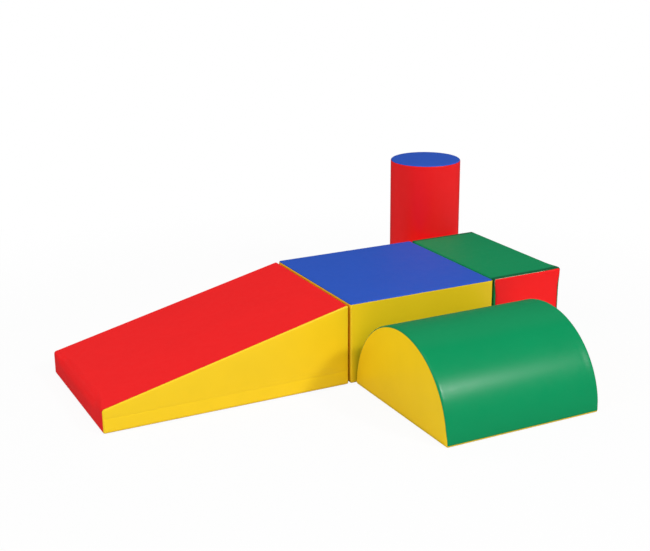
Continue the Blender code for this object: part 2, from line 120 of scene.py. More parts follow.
# Foam
CYLINDER_TAKE_IN = 3 * MM  # by which its tight cover squeezes the cylinder's foam all round
CORE_INSET = 2.6 * MM
CORE_EASE = 2.5 * MM
CORE_SHARP = math.radians(40)  # edges that turn further than this are eased

# Zips, across from the middle line and up from the floor
ZIP_END_MARGIN = 75 * MM
CYLINDER_ZIP_END_MARGIN = 40 * MM
SLOT_EDGE = 5.95 * MM
SLOT_TAPER = 3.5 * MM  # past each end of the zip
HEM_ROLL = 2.05 * MM
HEM_WIDTH = 8 * MM
HEM_STEPS = 6  # of its turn
HEM_PULL_SHARE = 0.25  # by which the points along it are drawn to its middle
HEM_LINES = [line * MM for line in (14, 10, 7.4, 6.8, 6.2, 5.6, 4.6, 3.8, 3.2, 2.6)]  # from the slot's edge
STITCH_LINES = (3.2 * MM, 6.2 * MM)
STITCH_SINK = 0.35 * MM
STITCH_SPREAD = 0.5 * MM
CLOSED_SHARE = 0.05  # of the hem that is left past the slot's ends
# The right half of the foam's hollow over a zip
TUNNEL = [(across * MM, up * MM) for across, up in ((14.4, -9), (14.4, 5.4), (8.1, 5.4), (8.1, 9.4))]
TUNNEL_MARGIN = 1 * MM
TAPE_EDGE = 0.5 * MM
TAPE_WIDTH = 13.4 * MM
TAPE_LEVEL = 5 * MM  # of the coils' underside
TAPE_SINK = 0.1 * MM  # of the tape below that
TAPE_THICKNESS = 0.6 * MM
TAPE_LINE_SHARES = np.array([0, 0.03, 0.09, 0.25, 0.37, 0.6, 0.8, 1])  # of its width, from the inner edge
TAPE_RISES = np.array([-0.1, 0.05, 0, 0, -0.12, 0, 0, 0]) * MM  # of those lines
TAPE_RIPPLE = 0.08 * MM
TAPE_RIPPLE_LENGTH = 9 * MM  # for each radian
COIL_PLACE = (0.75 * MM, 3.05 * MM)
COIL_HEIGHT = 1.9 * MM
COIL_PITCH = 2.4 * MM
COIL_WIRE = 0.32 * MM
STOP_LENGTH = 3 * MM
STOP_HEIGHT = 2.8 * MM
STOP_EASE = 0.45 * MM
SLIDER_EASE = 0.14 * MM
SLIDER_MERGE = 0.005 * MM  # between corners that are one
SLIDER_FLAT = math.radians(1)  # facets that turn less than this are one face
SLIDER_SHARP = math.radians(35)  # edges that turn further than this are eased

# Threads
STITCH_PITCH = 4 * MM
STITCH_LENGTH = 3.1 * MM
THREAD = 0.28 * MM
STITCH_BOW = 2.6  # of a stitch's middle, above the cloth, in threads

# Hook-and-loop
STRIP_BACKING = 0.8 * MM
STRIP_SHEET = 0.6 * MM
STRIP_CORNER = 6 * MM
STRIP_STITCH_INSET = 3.5 * MM
STRIP_THREAD_SINK = 0.2 * MM
STRIP_RINGS = (  # inset from the edge, and height
    (0, 0.05 * MM),
    (0.05 * MM, 0.64 * MM),
    (0.4 * MM, STRIP_BACKING),
    (STRIP_STITCH_INSET - 0.6 * MM, STRIP_BACKING),
    (STRIP_STITCH_INSET, STRIP_BACKING - 0.25 * MM),
    (STRIP_STITCH_INSET + 0.6 * MM, STRIP_BACKING),
    (STRIP_STITCH_INSET + 2 * MM, STRIP_BACKING),
)
PILE_PITCH = 2.9 * MM
PILE_MARGIN = 1.6 * MM
PILE_SINK = 0.1 * MM
PILE_HEIGHT = 1.7 * MM
PILE_WIRE = 0.16 * MM
PILE_JITTER = {0: (-0.5 * MM, -0.5 * MM, 0), 1: (0.5 * MM, 0.5 * MM, 0), "Seed": 3}
PILE_TURN = {0: (-0.15, -0.15, 0), 1: (0.15, 0.15, 2 * math.pi), "Seed": 4}
HOOK_MIDDLE = (0.3 * MM, 0, 2 * PILE_HEIGHT)
HOOK_END = (1.1 * MM, 0, 0.55 * PILE_HEIGHT)
LOOP_MIDDLE = (0.65 * MM, 0, 2 * PILE_HEIGHT)
LOOP_END = (1.3 * MM, 0, 0)

# Finishes: how large their marks are
NOISE_SPAN = {"From Min": 0.3, "From Max": 0.7}  # within which nearly all of a noise lies
VINYL_PATCH = 110 * MM  # of a slightly lighter or darker tone
VINYL_SMUDGE = 26 * MM  # left by hands and feet
VINYL_RIPPLE = 29 * MM
VINYL_RIPPLE_DEPTH = 0.8 * MM
RIPPLE_REACH = (4 * MM, 45 * MM)  # from a seam, over which the ripples fade
VINYL_GRAIN = 1.6 * MM  # three times as coarse as the real one, which is too fine to show
VINYL_GRAIN_DEPTH = 0.25 * MM
GROOVE_SHADE = 0.42  # of the vinyl's colour that is left in a seam's groove, as painted shade
WALKED_ROUGHNESS = 0.32  # that feet add to the faces on top
FOAM_CELL = 1.4 * MM
FOAM_CELL_DEPTH = 0.6 * MM
FOAM_PATCH = 70 * MM
THREAD_SPACING = 0.35 * MM  # of a woven tape, at its real size, so it shows from close by only
WEAVE_DEPTH = 0.15 * MM
WAVE_RADIANS = 20  # of a wave texture's bands to a metre, at a scale of 1
NYLON_PATCH = 6.25 * MM
ZINC_GRIT = 1.1 * MM
ZINC_RUBBED_EDGE = 0.5 * MM

# Stage
WHITE = (1, 1, 1, 1)
AROUND_LEVEL = 0.35  # of the white background, as a light
DIM_LEVEL = 0.06  # of the same to mirror rays
FLOOR_SIZE = 40
FLOOR_DROP = 0.5 * MM
FLOOR_GREY = (0.8, 0.8, 0.8, 1)
SHADOW_REACH = (1.2, 2.6)  # from the set's middle, over which its shadow fades
SHADOW_SHARE = 0.07
LAMP_DISTANCE = 9
LAMP_AIM = (0, 0, 0.2)
LAMPS = (  # name, direction, size, level and whether the covers mirror it
    ("key", (0.4, -0.7, 0.595), 1.2, 0.36, True),
    ("overhead", (-0.1, -0.25, 1), 6, 0.17, True),
    ("front_fill", (-0.1, -0.8, 0.6), 6, 0.21, False),
    ("left_fill", (-0.87, -0.2, 0.45), 5, 0.32, False),
    ("right_fill", (0.95, -0.1, 0.3), 5, 0.15, False),
    ("rear_fill", (-0.5, 0.8, 0.4), 5, 0.1, False),
)

# Camera, matched to the photograph
CAMERA_PLACE = (-1.8494, -3.5968, 1.6387)
CAMERA_YAW = 26.867
CAMERA_PITCH = 17.506
CAMERA_ROLL = -0.43
CAMERA_FOCAL_PIXELS = 1183.6
PHOTO_WIDTH_PIXELS = 650
SENSOR = 36  # mm
CLIP_END = 100


# Materials


def linear(hex_colour):
    """The linear RGBA of an sRGB hex colour."""
    shares = [int(hex_colour[i : i + 2], 16) / 255 for i in (0, 2, 4)]
    return [s / 12.92 if s <= 0.04045 else ((s + 0.055) / 1.055) ** 2.4 for s in shares] + [1]


def set_inputs(tree, node, inputs):
    """Set each input of a node to a value, or link it to a socket or to the first output of another node."""
    for key, value in inputs.items():
        source = value.outputs[0] if isinstance(value, bpy.types.Node) else value
        if isinstance(source, bpy.types.NodeSocket):
            tree.links.new(source, node.inputs[key])
        else:
            node.inputs[key].default_value = source


def add_node(tree, kind, inputs=None, **settings):
    """A node with its settings and its inputs."""
    made = tree.nodes.new(kind)
    for key, value in settings.items():
        setattr(made, key, value)
    set_inputs(tree, made, inputs or {})
    return made


def new_material(name):
    """A material, its tree, its shader and the place on the object, in the frame's axes."""
    made = bpy.data.materials.new(name)
    made.use_nodes = True
    tree = made.node_tree
    place = add_node(tree, "ShaderNodeTexCoord").outputs["Object"]
    return made, tree, tree.nodes["Principled BSDF"], place


def vinyl(name, hex_colour, seed):
    """PVC-coated polyester, calendered: a satin skin with a faint leather grain, dull where feet rub it.

    Its seams' grooves are darkened in its colour as painted shade, and the skin is drawn into soft ripples
    beside them.
    """
    made, tree, shader, place = new_material(name)
    patches = {"Vector": place, "Scale": 1 / VINYL_PATCH, "W": seed}
    cloud = add_node(tree, "ShaderNodeTexNoise", patches, noise_dimensions="4D")
    toned = {"Value": cloud, **NOISE_SPAN, "To Min": 0.985, "To Max": 1.015}
    tone = add_node(tree, "ShaderNodeMapRange", toned)
    # Painted shade: the groove attribute darkens the colour in each seam's groove, and in a band beside the
    # small block's top seams
    groove = add_node(tree, "ShaderNodeAttribute", attribute_name="groove").outputs["Fac"]
    groove_painted_shade = add_node(tree, "ShaderNodeMapRange", {"Value": groove, "To Min": 1, "To Max": GROOVE_SHADE})
    shade = add_node(tree, "ShaderNodeMath", {0: tone, 1: groove_painted_shade}, operation="MULTIPLY")
    shaded = {0: linear(hex_colour)[:3], "Scale": shade}

    smudge = add_node(tree, "ShaderNodeTexNoise", {"Vector": place, "Scale": 1 / VINYL_SMUDGE, "Detail": 4})
    glossed = {"Value": smudge, **NOISE_SPAN, "To Min": 0.28, "To Max": 0.34}
    gloss = add_node(tree, "ShaderNodeMapRange", glossed)
    facing = add_node(tree, "ShaderNodeNewGeometry").outputs["Normal"]
    upward = add_node(tree, "ShaderNodeSeparateXYZ", {"Vector": facing}).outputs["Z"]
    walked = {"Value": upward, "From Min": 0.88, "From Max": 0.98, "To Max": WALKED_ROUGHNESS}
    rubbed = add_node(tree, "ShaderNodeMapRange", walked, interpolation_type="SMOOTHSTEP")

    cells = {"Vector": place, "Scale": 1 / VINYL_GRAIN}
    grain = add_node(tree, "ShaderNodeTexVoronoi", cells, feature="SMOOTH_F1")
    fine = add_node(tree, "ShaderNodeBump", {"Height": grain, "Strength": 0.1, "Distance": VINYL_GRAIN_DEPTH})
    ripple = add_node(tree, "ShaderNodeTexNoise", {"Vector": place, "Scale": 1 / VINYL_RIPPLE, "Detail": 2})
    seam = add_node(tree, "ShaderNodeAttribute", attribute_name="seam").outputs["Fac"]
    beside = {"Value": seam, "From Min": RIPPLE_REACH[0], "From Max": RIPPLE_REACH[1]}
    beside |= {"To Min": 1, "To Max": 0.12}
    near = add_node(tree, "ShaderNodeMapRange", beside)
    height = add_node(tree, "ShaderNodeMath", {0: ripple, 1: near}, operation="MULTIPLY")
    soft = {"Height": height, "Strength": 0.3, "Distance": VINYL_RIPPLE_DEPTH, "Normal": fine}
    skin = {
        "Base Color": add_node(tree, "ShaderNodeVectorMath", shaded, operation="SCALE"),
        "Roughness": add_node(tree, "ShaderNodeMath", {0: gloss, 1: rubbed}, operation="ADD"),
        "Specular IOR Level": 0.25,
        "Normal": add_node(tree, "ShaderNodeBump", soft),
    }
    set_inputs(tree, shader, skin)
    return made


def cut_foam():
    """Open-cell polyurethane foam, sawn from a block: matt, with cells of about a millimetre."""
    made, tree, shader, place = new_material("cut_polyurethane_foam")
    cloud = add_node(tree, "ShaderNodeTexNoise", {"Vector": place, "Scale": 1 / FOAM_PATCH, "Detail": 5})
    colour = add_node(tree, "ShaderNodeMix", data_type="RGBA")
    set_inputs(tree, colour, {"Factor": cloud, "A": linear("e3d9b6"), "B": linear("efe8d0")})
    cells = add_node(tree, "ShaderNodeTexVoronoi", {"Vector": place, "Scale": 1 / FOAM_CELL})
    pits = {"Height": cells, "Strength": 0.7, "Distance": FOAM_CELL_DEPTH}
    bump = add_node(tree, "ShaderNodeBump", pits)
    set_inputs(tree, shader, {"Base Color": colour.outputs["Result"], "Roughness": 0.95, "Normal": bump})
    return made


def woven(name, hex_colour):
    """A flat weave: the threads' backs catch a soft sheen and leave dark pits between them."""
    made, tree, shader, place = new_material(name)
    bands = {"Vector": place, "Scale": 2 * math.pi / WAVE_RADIANS / THREAD_SPACING, "Distortion": 0.3}
    waves = [add_node(tree, "ShaderNodeTexWave", bands, bands_direction=axis) for axis in "XYZ"]
    x, y, z = (wave.outputs["Fac"] for wave in waves)
    level = add_node(tree, "ShaderNodeMath", {0: x, 1: y}, operation="ADD")
    height = add_node(tree, "ShaderNodeMath", {0: level, 1: z}, operation="ADD")
    pits = {"Height": height, "Strength": 0.6, "Distance": WEAVE_DEPTH}
    cloth = {"Base Color": linear(hex_colour), "Roughness": 0.85, "Sheen Weight": 0.25}
    set_inputs(tree, shader, {**cloth, "Normal": add_node(tree, "ShaderNodeBump", pits)})
    return made


def nylon(name, hex_colour, roughness):
    """Drawn nylon or polyester wire: smooth, a little glossy, its shade uneven from turn to turn."""
    made, tree, shader, place = new_material(name)
    cloud = add_node(tree, "ShaderNodeTexNoise", {"Vector": place, "Scale": 1 / NYLON_PATCH})
    shade = add_node(tree, "ShaderNodeMapRange", {"Value": cloud, **NOISE_SPAN, "To Min": 0.7, "To Max": 1.2})
    shaded = {0: linear(hex_colour)[:3], "Scale": shade}
    colour = add_node(tree, "ShaderNodeVectorMath", shaded, operation="SCALE")
    set_inputs(tree, shader, {"Base Color": colour, "Roughness": roughness})
    return made


def enamelled_zinc():
    """Die-cast zinc under black enamel, rubbed bare at its corners."""
    made, tree, shader, place = new_material("enamelled_zinc")
    eased = add_node(tree, "ShaderNodeBevel", {"Radius": ZINC_RUBBED_EDGE}, samples=4)
    plain = add_node(tree, "ShaderNodeNewGeometry").outputs["Normal"]
    turn = add_node(tree, "ShaderNodeVectorMath", {0: eased, 1: plain}, operation="DISTANCE").outputs["Value"]
    grit = add_node(tree, "ShaderNodeTexNoise", {"Vector": place, "Scale": 1 / ZINC_GRIT})
    worn = add_node(tree, "ShaderNodeMath", {0: turn, 1: grit}, operation="MULTIPLY")
    bare = add_node(tree, "ShaderNodeMapRange", {"Value": worn, "From Min": 0.12, "From Max": 0.25})
    colour = add_node(tree, "ShaderNodeMix", data_type="RGBA")
    set_inputs(tree, colour, {"Factor": bare, "A": linear("26262a"), "B": linear("a9a9ac")})
    set_inputs(tree, shader, {"Base Color": colour.outputs["Result"], "Metallic": bare, "Roughness": 0.38})
    return made


RED = vinyl("red_pvc_coated_polyester", "f0181a", 1)
YELLOW = vinyl("yellow_pvc_coated_polyester", "efc81c", 2)
BLUE = vinyl("blue_pvc_coated_polyester", "2655be", 3)
GREEN = vinyl("green_pvc_coated_polyester", "028b55", 4)
FOAM = cut_foam()
TAPE = woven("woven_polyester_tape", "1c1c1e")
COIL = nylon("nylon_coil", "17171a", 0.35)
HOOKS = nylon("nylon_hooks", "1b1b1e", 0.4)
LOOPS = nylon("nylon_loops", "26262a", 0.7)
ZINC = enamelled_zinc()
THREADS = {
    RED: nylon("red_polyester_thread", "b81416", 0.5),
    YELLOW: nylon("yellow_polyester_thread", "d3a813", 0.5),
    GREEN: nylon("green_polyester_thread", "05703f", 0.5),
    TAPE: nylon("black_polyester_thread", "0e0e10", 0.5),
}


# Pieces


def add_piece(name, mesh, finish, body):
    """A piece of the look: it rides on a body and takes the given finish, unless its mesh has one already."""
    mesh.name = name
    piece = bpy.data.objects.new(name, mesh)
    bpy.context.scene.collection.objects.link(piece)
    if not mesh.materials:
        mesh.materials.append(finish)
    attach(piece, body)
    return piece


def thicken(piece, thickness):
    """Give a sheet its thickness, inwards."""
    wall = piece.modifiers.new("sheet", "SOLIDIFY")
    wall.thickness = thickness
    wall.offset = -1


def carrier(name, mesh):
    made = bpy.data.objects.new(name + "_carrier", mesh)
    bpy.context.scene.collection.objects.link(made)
    return made


def baked(made):
    """The mesh that an object's modifiers leave. The object itself goes."""
    graph = bpy.context.evaluated_depsgraph_get()
    mesh = bpy.data.meshes.new_from_object(made.evaluated_get(graph), depsgraph=graph)
    bpy.data.objects.remove(made, do_unlink=True)
    return mesh


def finished(bm, name):
    mesh = bpy.data.meshes.new(name)
    bm.to_mesh(mesh)
    bm.free()
    return mesh


def in_axes(axis, across, along):
    """Points in the frame, from their two places across an axis and the one along it."""
    along = np.broadcast_to(along, across.shape[:-1])
    return np.insert(across, axis, along, axis=-1)


def prism(name, axis, outline, low, high):
    """An outline pushed along an axis."""
    bm = bmesh.new()
    ring = [bm.verts.new(point) for point in in_axes(axis, np.array(outline), low)]
    pushed = bmesh.ops.extrude_face_region(bm, geom=[bm.faces.new(ring)])["geom"]
    run = Vector(in_axes(axis, np.zeros(2), high - low))
    bmesh.ops.translate(bm, verts=[item for item in pushed if isinstance(item, bmesh.types.BMVert)], vec=run)
    bmesh.ops.recalc_face_normals(bm, faces=bm.faces)
    return finished(bm, name)


def grid_mesh(points, outward, closed=False, cap=False, **values):
    """A mesh from rows of points that faces outwards. Its rows may be closed, and the last of them capped."""
    rows, columns = points.shape[:2]
    faces = []
    for row in range(rows - 1):
        for column in range(columns if closed else columns - 1):
            after = (column + 1) % columns
            start, up = row * columns, (row + 1) * columns
            faces.append((start + column, start + after, up + after, up + column))
    if cap:
        faces.append(tuple((rows - 1) * columns + column for column in range(columns)))
    up = points[1:, :-1] - points[:-1, :-1]
    over = points[:-1, 1:] - points[:-1, :-1]
    if (np.cross(over, up) * outward[:-1, :-1]).sum() < 0:
        faces = [face[::-1] for face in faces]
    mesh = bpy.data.meshes.new("grid")
    mesh.from_pydata(points.reshape(-1, 3).tolist(), [], faces)
    for key, value in values.items():
        made = mesh.attributes.new(key, "FLOAT", "POINT")
        made.data.foreach_set("value", value.astype(np.float32).ravel())
    bm = bmesh.new()
    bm.from_mesh(mesh)
    bmesh.ops.remove_doubles(bm, verts=bm.verts, dist=MERGE)
    bm.to_mesh(mesh)
    bm.free()
    mesh.shade_smooth()
    return mesh


# Outlines: arcs, each with its centre, radius, first and last outward angle, and the crown of the side that
# comes after it


def unit(angle):
    return np.stack([np.cos(angle), np.sin(angle)], axis=-1)


def polygon(corners, radii, crowns):
    """The arcs of a convex outline with straight sides, counterclockwise, whose last side faces down."""
    corners = [np.array(corner, float) for corner in corners]
    arcs = []
    start = -math.pi / 2
    for i, corner in enumerate(corners):
        run = corners[(i + 1) % len(corners)] - corner
        end = math.atan2(-run[0], run[1])
        while end < start:
            end += 2 * math.pi
        half = (end - start) / 2
        centre = corner - radii[i] / math.cos(half) * unit(start + half)
        arcs.append((centre, radii[i], start, end, crowns[i]))
        start = end
    return arcs


def trace(arcs, closed, step=STEP):
    """Points along an outline drawn in by EDGE: place, outward angle and crown."""
    places, angles, crowns = [], [], []
    for i, (centre, radius, start, end, crown) in enumerate(arcs):
        turn = end - start
        count = math.ceil(max(turn / TURN_STEP, radius * turn / step) - ROUNDING_SHARE)
        for k in range(count + 1):
            angle = start + turn * k / max(count, 1)
            places.append(centre + (radius - EDGE) * unit(angle))
            angles.append(angle)
            crowns.append(0)
        if not closed and i == len(arcs) - 1:
            break
        goal_centre, goal_radius, goal_angle, _, _ = arcs[(i + 1) % len(arcs)]
        goal = goal_centre + (goal_radius - EDGE) * unit(goal_angle)
        begin = places[-1]
        count = math.ceil(np.linalg.norm(goal - begin) / step - ROUNDING_SHARE)
        for share in np.arange(1, count) / max(count, 1):
            places.append(begin + (goal - begin) * share)
            angles.append(end)
            crowns.append(crown * 4 * share * (1 - share))
    if closed and len(arcs) == 1:
        places, angles, crowns = places[:-1], angles[:-1], crowns[:-1]
    return np.array(places), np.array(angles), np.array(crowns)


def lengths_along(places, closed):
    """The distance along an outline to each of its points, and all round it, or 0 for an open one."""
    runs = np.linalg.norm(np.roll(places, -1, axis=0) - places, axis=1)
    along = np.concatenate([[0], np.cumsum(runs)[:-1]])
    return along, (runs.sum() if closed else 0)


def outer_length(arcs):
    """The length of an open outline, measured on the cover."""
    places, angles, _ = trace(arcs, False)
    return float(np.linalg.norm(np.diff(places + EDGE * unit(angles), axis=0), axis=1).sum())


# Sewn surfaces


def waves(along, around, lengths, seed):
    """Gentle waves along a seam, from about -1 to 1. A closed seam takes a whole number of each length."""
    random = np.random.default_rng(seed)
    total = np.zeros_like(along)
    for length in lengths:
        fitted = around / max(1, round(around / length)) if around else length
        total += np.sin(2 * math.pi * (along / fitted + random.random()))
    return total / len(lengths)


def pucker(distance, along, around, seed):
    """How far sewing lifts or draws in the vinyl beside a seam."""
    near = distance / PUCKER_REACH
    swell = near * np.exp(1 - near)
    patches = 1 - PATCH_SHARE + PATCH_SHARE * waves(along, around, PATCH_LENGTHS, seed + PATCH_SEED)
    return PUCKER_HEIGHT * swell * patches * waves(along, around, PUCKER_LENGTHS, seed)


class Seams:
    """Where round their edges a module's seams lie, and the radius with which its panels turn into them.

    The sides' angle is measured from the wrapping panel, and the base's from the walls.
    """

    def __init__(self, side, base=CORNER_LEAN, roll=SEAM_ROLL, top=None, top_seam_shade_reach=0):
        self.side = side
        self.base = base
        self.roll = roll
        self.top = top
        # reach of the painted shade beside the top seams; 0 draws none
        self.top_seam_shade_reach = top_seam_shade_reach
        self.base_share = math.sin(base)

    def lean(self, places):
        """The side seams' angle. It comes back towards the base, to meet the base's seam in a corner."""
        low = min(self.side, CORNER_LEAN)
        lean = low + (self.side - low) * smooth(places[:, 1], EDGE, CORNER_REACH)
        if self.top is not None:
            lean += (self.top - lean) * near_top_share(places)
        return lean

    def distances(self, angle):
        """The surface's distances from a seam, as far as the flat, an angle further round the edge."""
        reach = EDGE * np.asarray(angle)[..., None]
        roll = np.minimum(self.roll, BESIDE_SHARE / 2 * reach) * np.array(ROLL_SHARES)
        beside = np.clip(BESIDE_SHARE * reach, None, max(BESIDE_ROLL, BESIDE_ROLLS * self.roll))
        return np.concatenate([roll, beside + (reach - beside) * BEYOND_SHARES], axis=-1)

    def groove(self, distance):
        return np.clip(1 - distance / self.roll, 0, 1)

    def top_seam_shade(self, distance, places):
        """Painted shade beside the top seams of a wrapping panel, from 0 to 1."""
        return (1 - smooth(distance, self.top_seam_shade_reach / 2, self.top_seam_shade_reach)) * near_top_share(places)[:, None]

    def sunk(self, distance):
        """How far a panel's edge has sunk where it turns into its seam."""
        return self.roll * (1 - np.sqrt(1 - self.groove(distance) ** 2))


def smooth(value, start, end):
    share = np.clip((value - start) / (end - start), 0, 1)
    return share * share * (3 - 2 * share)


def near_top_share(places):
    high = places[:, 1].max()
    return smooth(places[:, 1], high - CORNER_REACH, high)


def tube_panel(axis, arcs, low, high, seams, seed, closed=False, shape=None):
    """The panel that follows an outline, from the seam at one end of an axis to the seam at the other.

    An open outline starts and ends at its bottom corners, where the panel stops at the base's seam. A closed
    one stands on the base.
    """
    begin, finish = low + EDGE, high - EDGE
    foot = seams.distances(seams.base)
    feet = len(foot)
    if closed:
        places, angles, crowns = trace(arcs, True)
        along, around = lengths_along(places, True)
        from_base = np.full(len(places), np.inf)
        low_lean, high_lean = np.full(len(places), seams.base), np.full(len(places), seams.side)
    else:
        first, last = arcs[0], arcs[-1]
        upper = [(first[0], first[1], first[3], *first[3:]), *arcs[1:-1], (*last[:3], last[2], 0)]
        places, angles, crowns = trace(upper, False)
        along, around = lengths_along(places, False)
        walls = EDGE * seams.base
        whole = along[-1] + 2 * walls
        from_first = np.concatenate([foot, walls + along[1:-1], (whole - foot)[::-1]])
        from_base = np.minimum(from_first, whole - from_first)
        repeats = [feet, *[1] * (len(places) - 2), feet]
        traced = (places, angles, crowns, along)
        places, angles, crowns, along = (np.repeat(values, repeats, axis=0) for values in traced)
        low_lean = high_lean = seams.lean(places)

    low_edge, high_edge = seams.distances(low_lean), seams.distances(high_lean)[:, ::-1]
    low_lean, high_lean = low_lean[:, None], high_lean[:, None]
    straight = np.linspace(begin, finish, math.ceil((finish - begin) / STEP) + 1)[1:-1]
    flat = np.broadcast_to(straight, (len(places), len(straight)))
    lean = np.hstack([low_edge / EDGE - low_lean, 0 * flat, high_lean - high_edge / EDGE])
    total = EDGE * low_lean + finish - begin + EDGE * high_lean
    from_low = np.hstack([low_edge, EDGE * low_lean + flat - begin, total - high_edge])
    ends = [np.full(low_edge.shape[1], begin), np.full(high_edge.shape[1], finish)]
    middle = np.concatenate([ends[0], straight, ends[1]])
    angle = np.repeat(angles[:, None], len(middle), axis=1)
    if not closed:
        to_seam = (1 - foot / foot[-1])[:, None]
        angle[:feet] += to_seam * (-np.arcsin(seams.base_share / np.cos(lean[:feet])) - angle[:feet])
        goal = math.pi + np.arcsin(seams.base_share / np.cos(lean[-feet:]))
        angle[-feet:] += to_seam[::-1] * (goal - angle[-feet:])

    normal = unit(angle)
    outward = in_axes(axis, normal * np.cos(lean)[..., None], np.sin(lean))
    core = in_axes(axis, np.broadcast_to(places[:, None, :], normal.shape), middle[None, :])
    share = (middle - begin) / (finish - begin)
    from_high = total - from_low
    seam = np.minimum(np.minimum(from_low, from_high), from_base[:, None])
    lift = crowns[:, None] * (4 * share * (1 - share))[None, :] - seams.sunk(seam)
    lift = lift + pucker(from_low, along[:, None], around, seed)
    lift = lift + pucker(from_high, along[:, None], around, seed + 1)
    if not closed:
        lift = lift + pucker(from_base[:, None], middle[None, :], 0, seed + 2)
    if shape:
        lift = lift + shape(core + EDGE * outward, normal, from_low, from_high)
    points = core + (EDGE + lift)[..., None] * outward
    # The groove attribute is painted shade in the vinyl: in each seam's groove, and on the small block in a
    # band beside its top seams
    groove = seams.groove(seam)
    if seams.top_seam_shade_reach:
        groove = np.maximum(groove, seams.top_seam_shade(np.minimum(from_low, from_high), places))
    if closed:
        points, outward, seam, groove = (v.swapaxes(0, 1) for v in (points, outward, seam, groove))
    return grid_mesh(points, outward, closed, seam=seam, groove=groove)


def nearest_on(spine, places):
    """The point of a straight spine that is nearest to each place."""
    start, run = np.array(spine[0]), np.array(spine[1]) - np.array(spine[0])
    if not run.any():
        return np.broadcast_to(start, places.shape)
    share = np.clip((places - start) @ run / (run @ run), 0, 1)
    return start + share[:, None] * run


def face_panel(axis, arcs, level, facing, spine, crown, seams, seed, over_base=True, shape=None):
    """The panel that closes an end of an outline, in rings that shrink from its seam towards a spine."""
    places, angles, _ = trace(arcs, True)
    along, around = lengths_along(places, True)
    if over_base:
        down = np.maximum(-np.sin(angles), seams.base_share)
        first_lean = np.maximum(seams.lean(places), np.arccos(seams.base_share / down))
    else:
        first_lean = np.full(len(places), seams.side)
    edge = seams.distances(math.pi / 2 - first_lean).T
    to_spine = nearest_on(spine, places) - places
    deep = np.linalg.norm(to_spine, axis=1)
    offsets = [STEP]
    while offsets[-1] < RINGS_SHARE * deep.min():
        offsets.append(offsets[-1] + STEP * STEP_GROWTH ** max(0, len(offsets) - EVEN_RINGS))
    inner = [min(LAST_RING_SHARE, offset / deep.min()) for offset in offsets]
    shrink = np.array([0] * len(edge) + inner)[:, None]
    lean = np.concatenate([first_lean + edge / EDGE, np.full((len(offsets), len(angles)), math.pi / 2)])
    outward = in_axes(axis, unit(angles)[None, :, :] * np.cos(lean)[..., None], facing * np.sin(lean))
    across = places[None, :, :] + shrink[..., None] * to_spine[None, :, :]
    core = in_axes(axis, across, level - facing * EDGE)
    seam = np.concatenate([edge, np.repeat(edge[-1:], len(offsets), axis=0)]) + shrink * deep[None, :]
    lift = crown * (1 - (1 - shrink) ** 2) - seams.sunk(seam) + pucker(seam, along[None, :], around, seed)
    if shape:
        lift = lift + shape(core + EDGE * outward, seam)
    points = core + (EDGE + lift)[..., None] * outward
    return grid_mesh(points, outward, True, cap=True, seam=seam, groove=seams.groove(seam))


# What repeats: stitches, coils and piles, grown by geometry nodes


def new_tree(name, *inputs):
    """An empty tree of geometry nodes with number inputs, and its group input's sockets."""
    tree = bpy.data.node_groups.new(name, "GeometryNodeTree")
    tree.interface.new_socket("Geometry", in_out="INPUT", socket_type="NodeSocketGeometry")
    for label in inputs:
        tree.interface.new_socket(label, in_out="INPUT", socket_type="NodeSocketFloat")
    tree.interface.new_socket("Material", in_out="INPUT", socket_type="NodeSocketMaterial")
    tree.interface.new_socket("Geometry", in_out="OUTPUT", socket_type="NodeSocketGeometry")
    return tree, add_node(tree, "NodeGroupInput").outputs


def end_tree(tree, given, shape):
    """Close a tree with real, smooth geometry in its material."""
    smoothed = add_node(tree, "GeometryNodeSetShadeSmooth", {"Geometry": shape})
    real = add_node(tree, "GeometryNodeRealizeInstances", {"Geometry": smoothed})
    finish = {"Geometry": real, "Material": given["Material"]}
    add_node(tree, "NodeGroupOutput", {0: add_node(tree, "GeometryNodeSetMaterial", finish)})
    return tree


def wire(tree, curve, radius, sides):
    """A round wire along a curve."""
    circle = add_node(tree, "GeometryNodeCurvePrimitiveCircle", {"Resolution": sides, "Radius": radius})
    drawn = {"Curve": curve, "Profile Curve": circle, "Fill Caps": True}
    return add_node(tree, "GeometryNodeCurveToMesh", drawn)


def stitch_tree():
    """Stitches along a path whose points carry the direction that faces out of the cloth."""
    tree, given = new_tree("stitches", "Pitch", "Length", "Thread")
    path = add_node(tree, "GeometryNodeMeshToCurve", {"Mesh": given["Geometry"]})
    spaced = {"Curve": path, "Length": given["Pitch"]}
    even = add_node(tree, "GeometryNodeResampleCurve", spaced, mode="LENGTH")
    bow = {"Resolution": 4, "Start": (-0.5, 0, -1), "Middle": (0, 0, STITCH_BOW), "End": (0.5, 0, -1)}
    size = add_node(tree, "ShaderNodeCombineXYZ", {"X": given["Length"], "Y": 1, "Z": given["Thread"]})
    bent = {"Geometry": add_node(tree, "GeometryNodeCurveQuadraticBezier", bow), "Scale": size}
    stitch = wire(tree, add_node(tree, "GeometryNodeTransform", bent), given["Thread"], sides=5)
    named = {"Name": "outward"}
    facing = add_node(tree, "GeometryNodeInputNamedAttribute", named, data_type="FLOAT_VECTOR")
    axes = {
        "Primary Axis": facing.outputs["Attribute"],
        "Secondary Axis": add_node(tree, "GeometryNodeInputTangent"),
    }
    turn = add_node(tree, "FunctionNodeAxesToRotation", axes, primary_axis="Z", secondary_axis="X")
    sewn = {"Points": even, "Instance": stitch, "Rotation": turn}
    return end_tree(tree, given, add_node(tree, "GeometryNodeInstanceOnPoints", sewn))


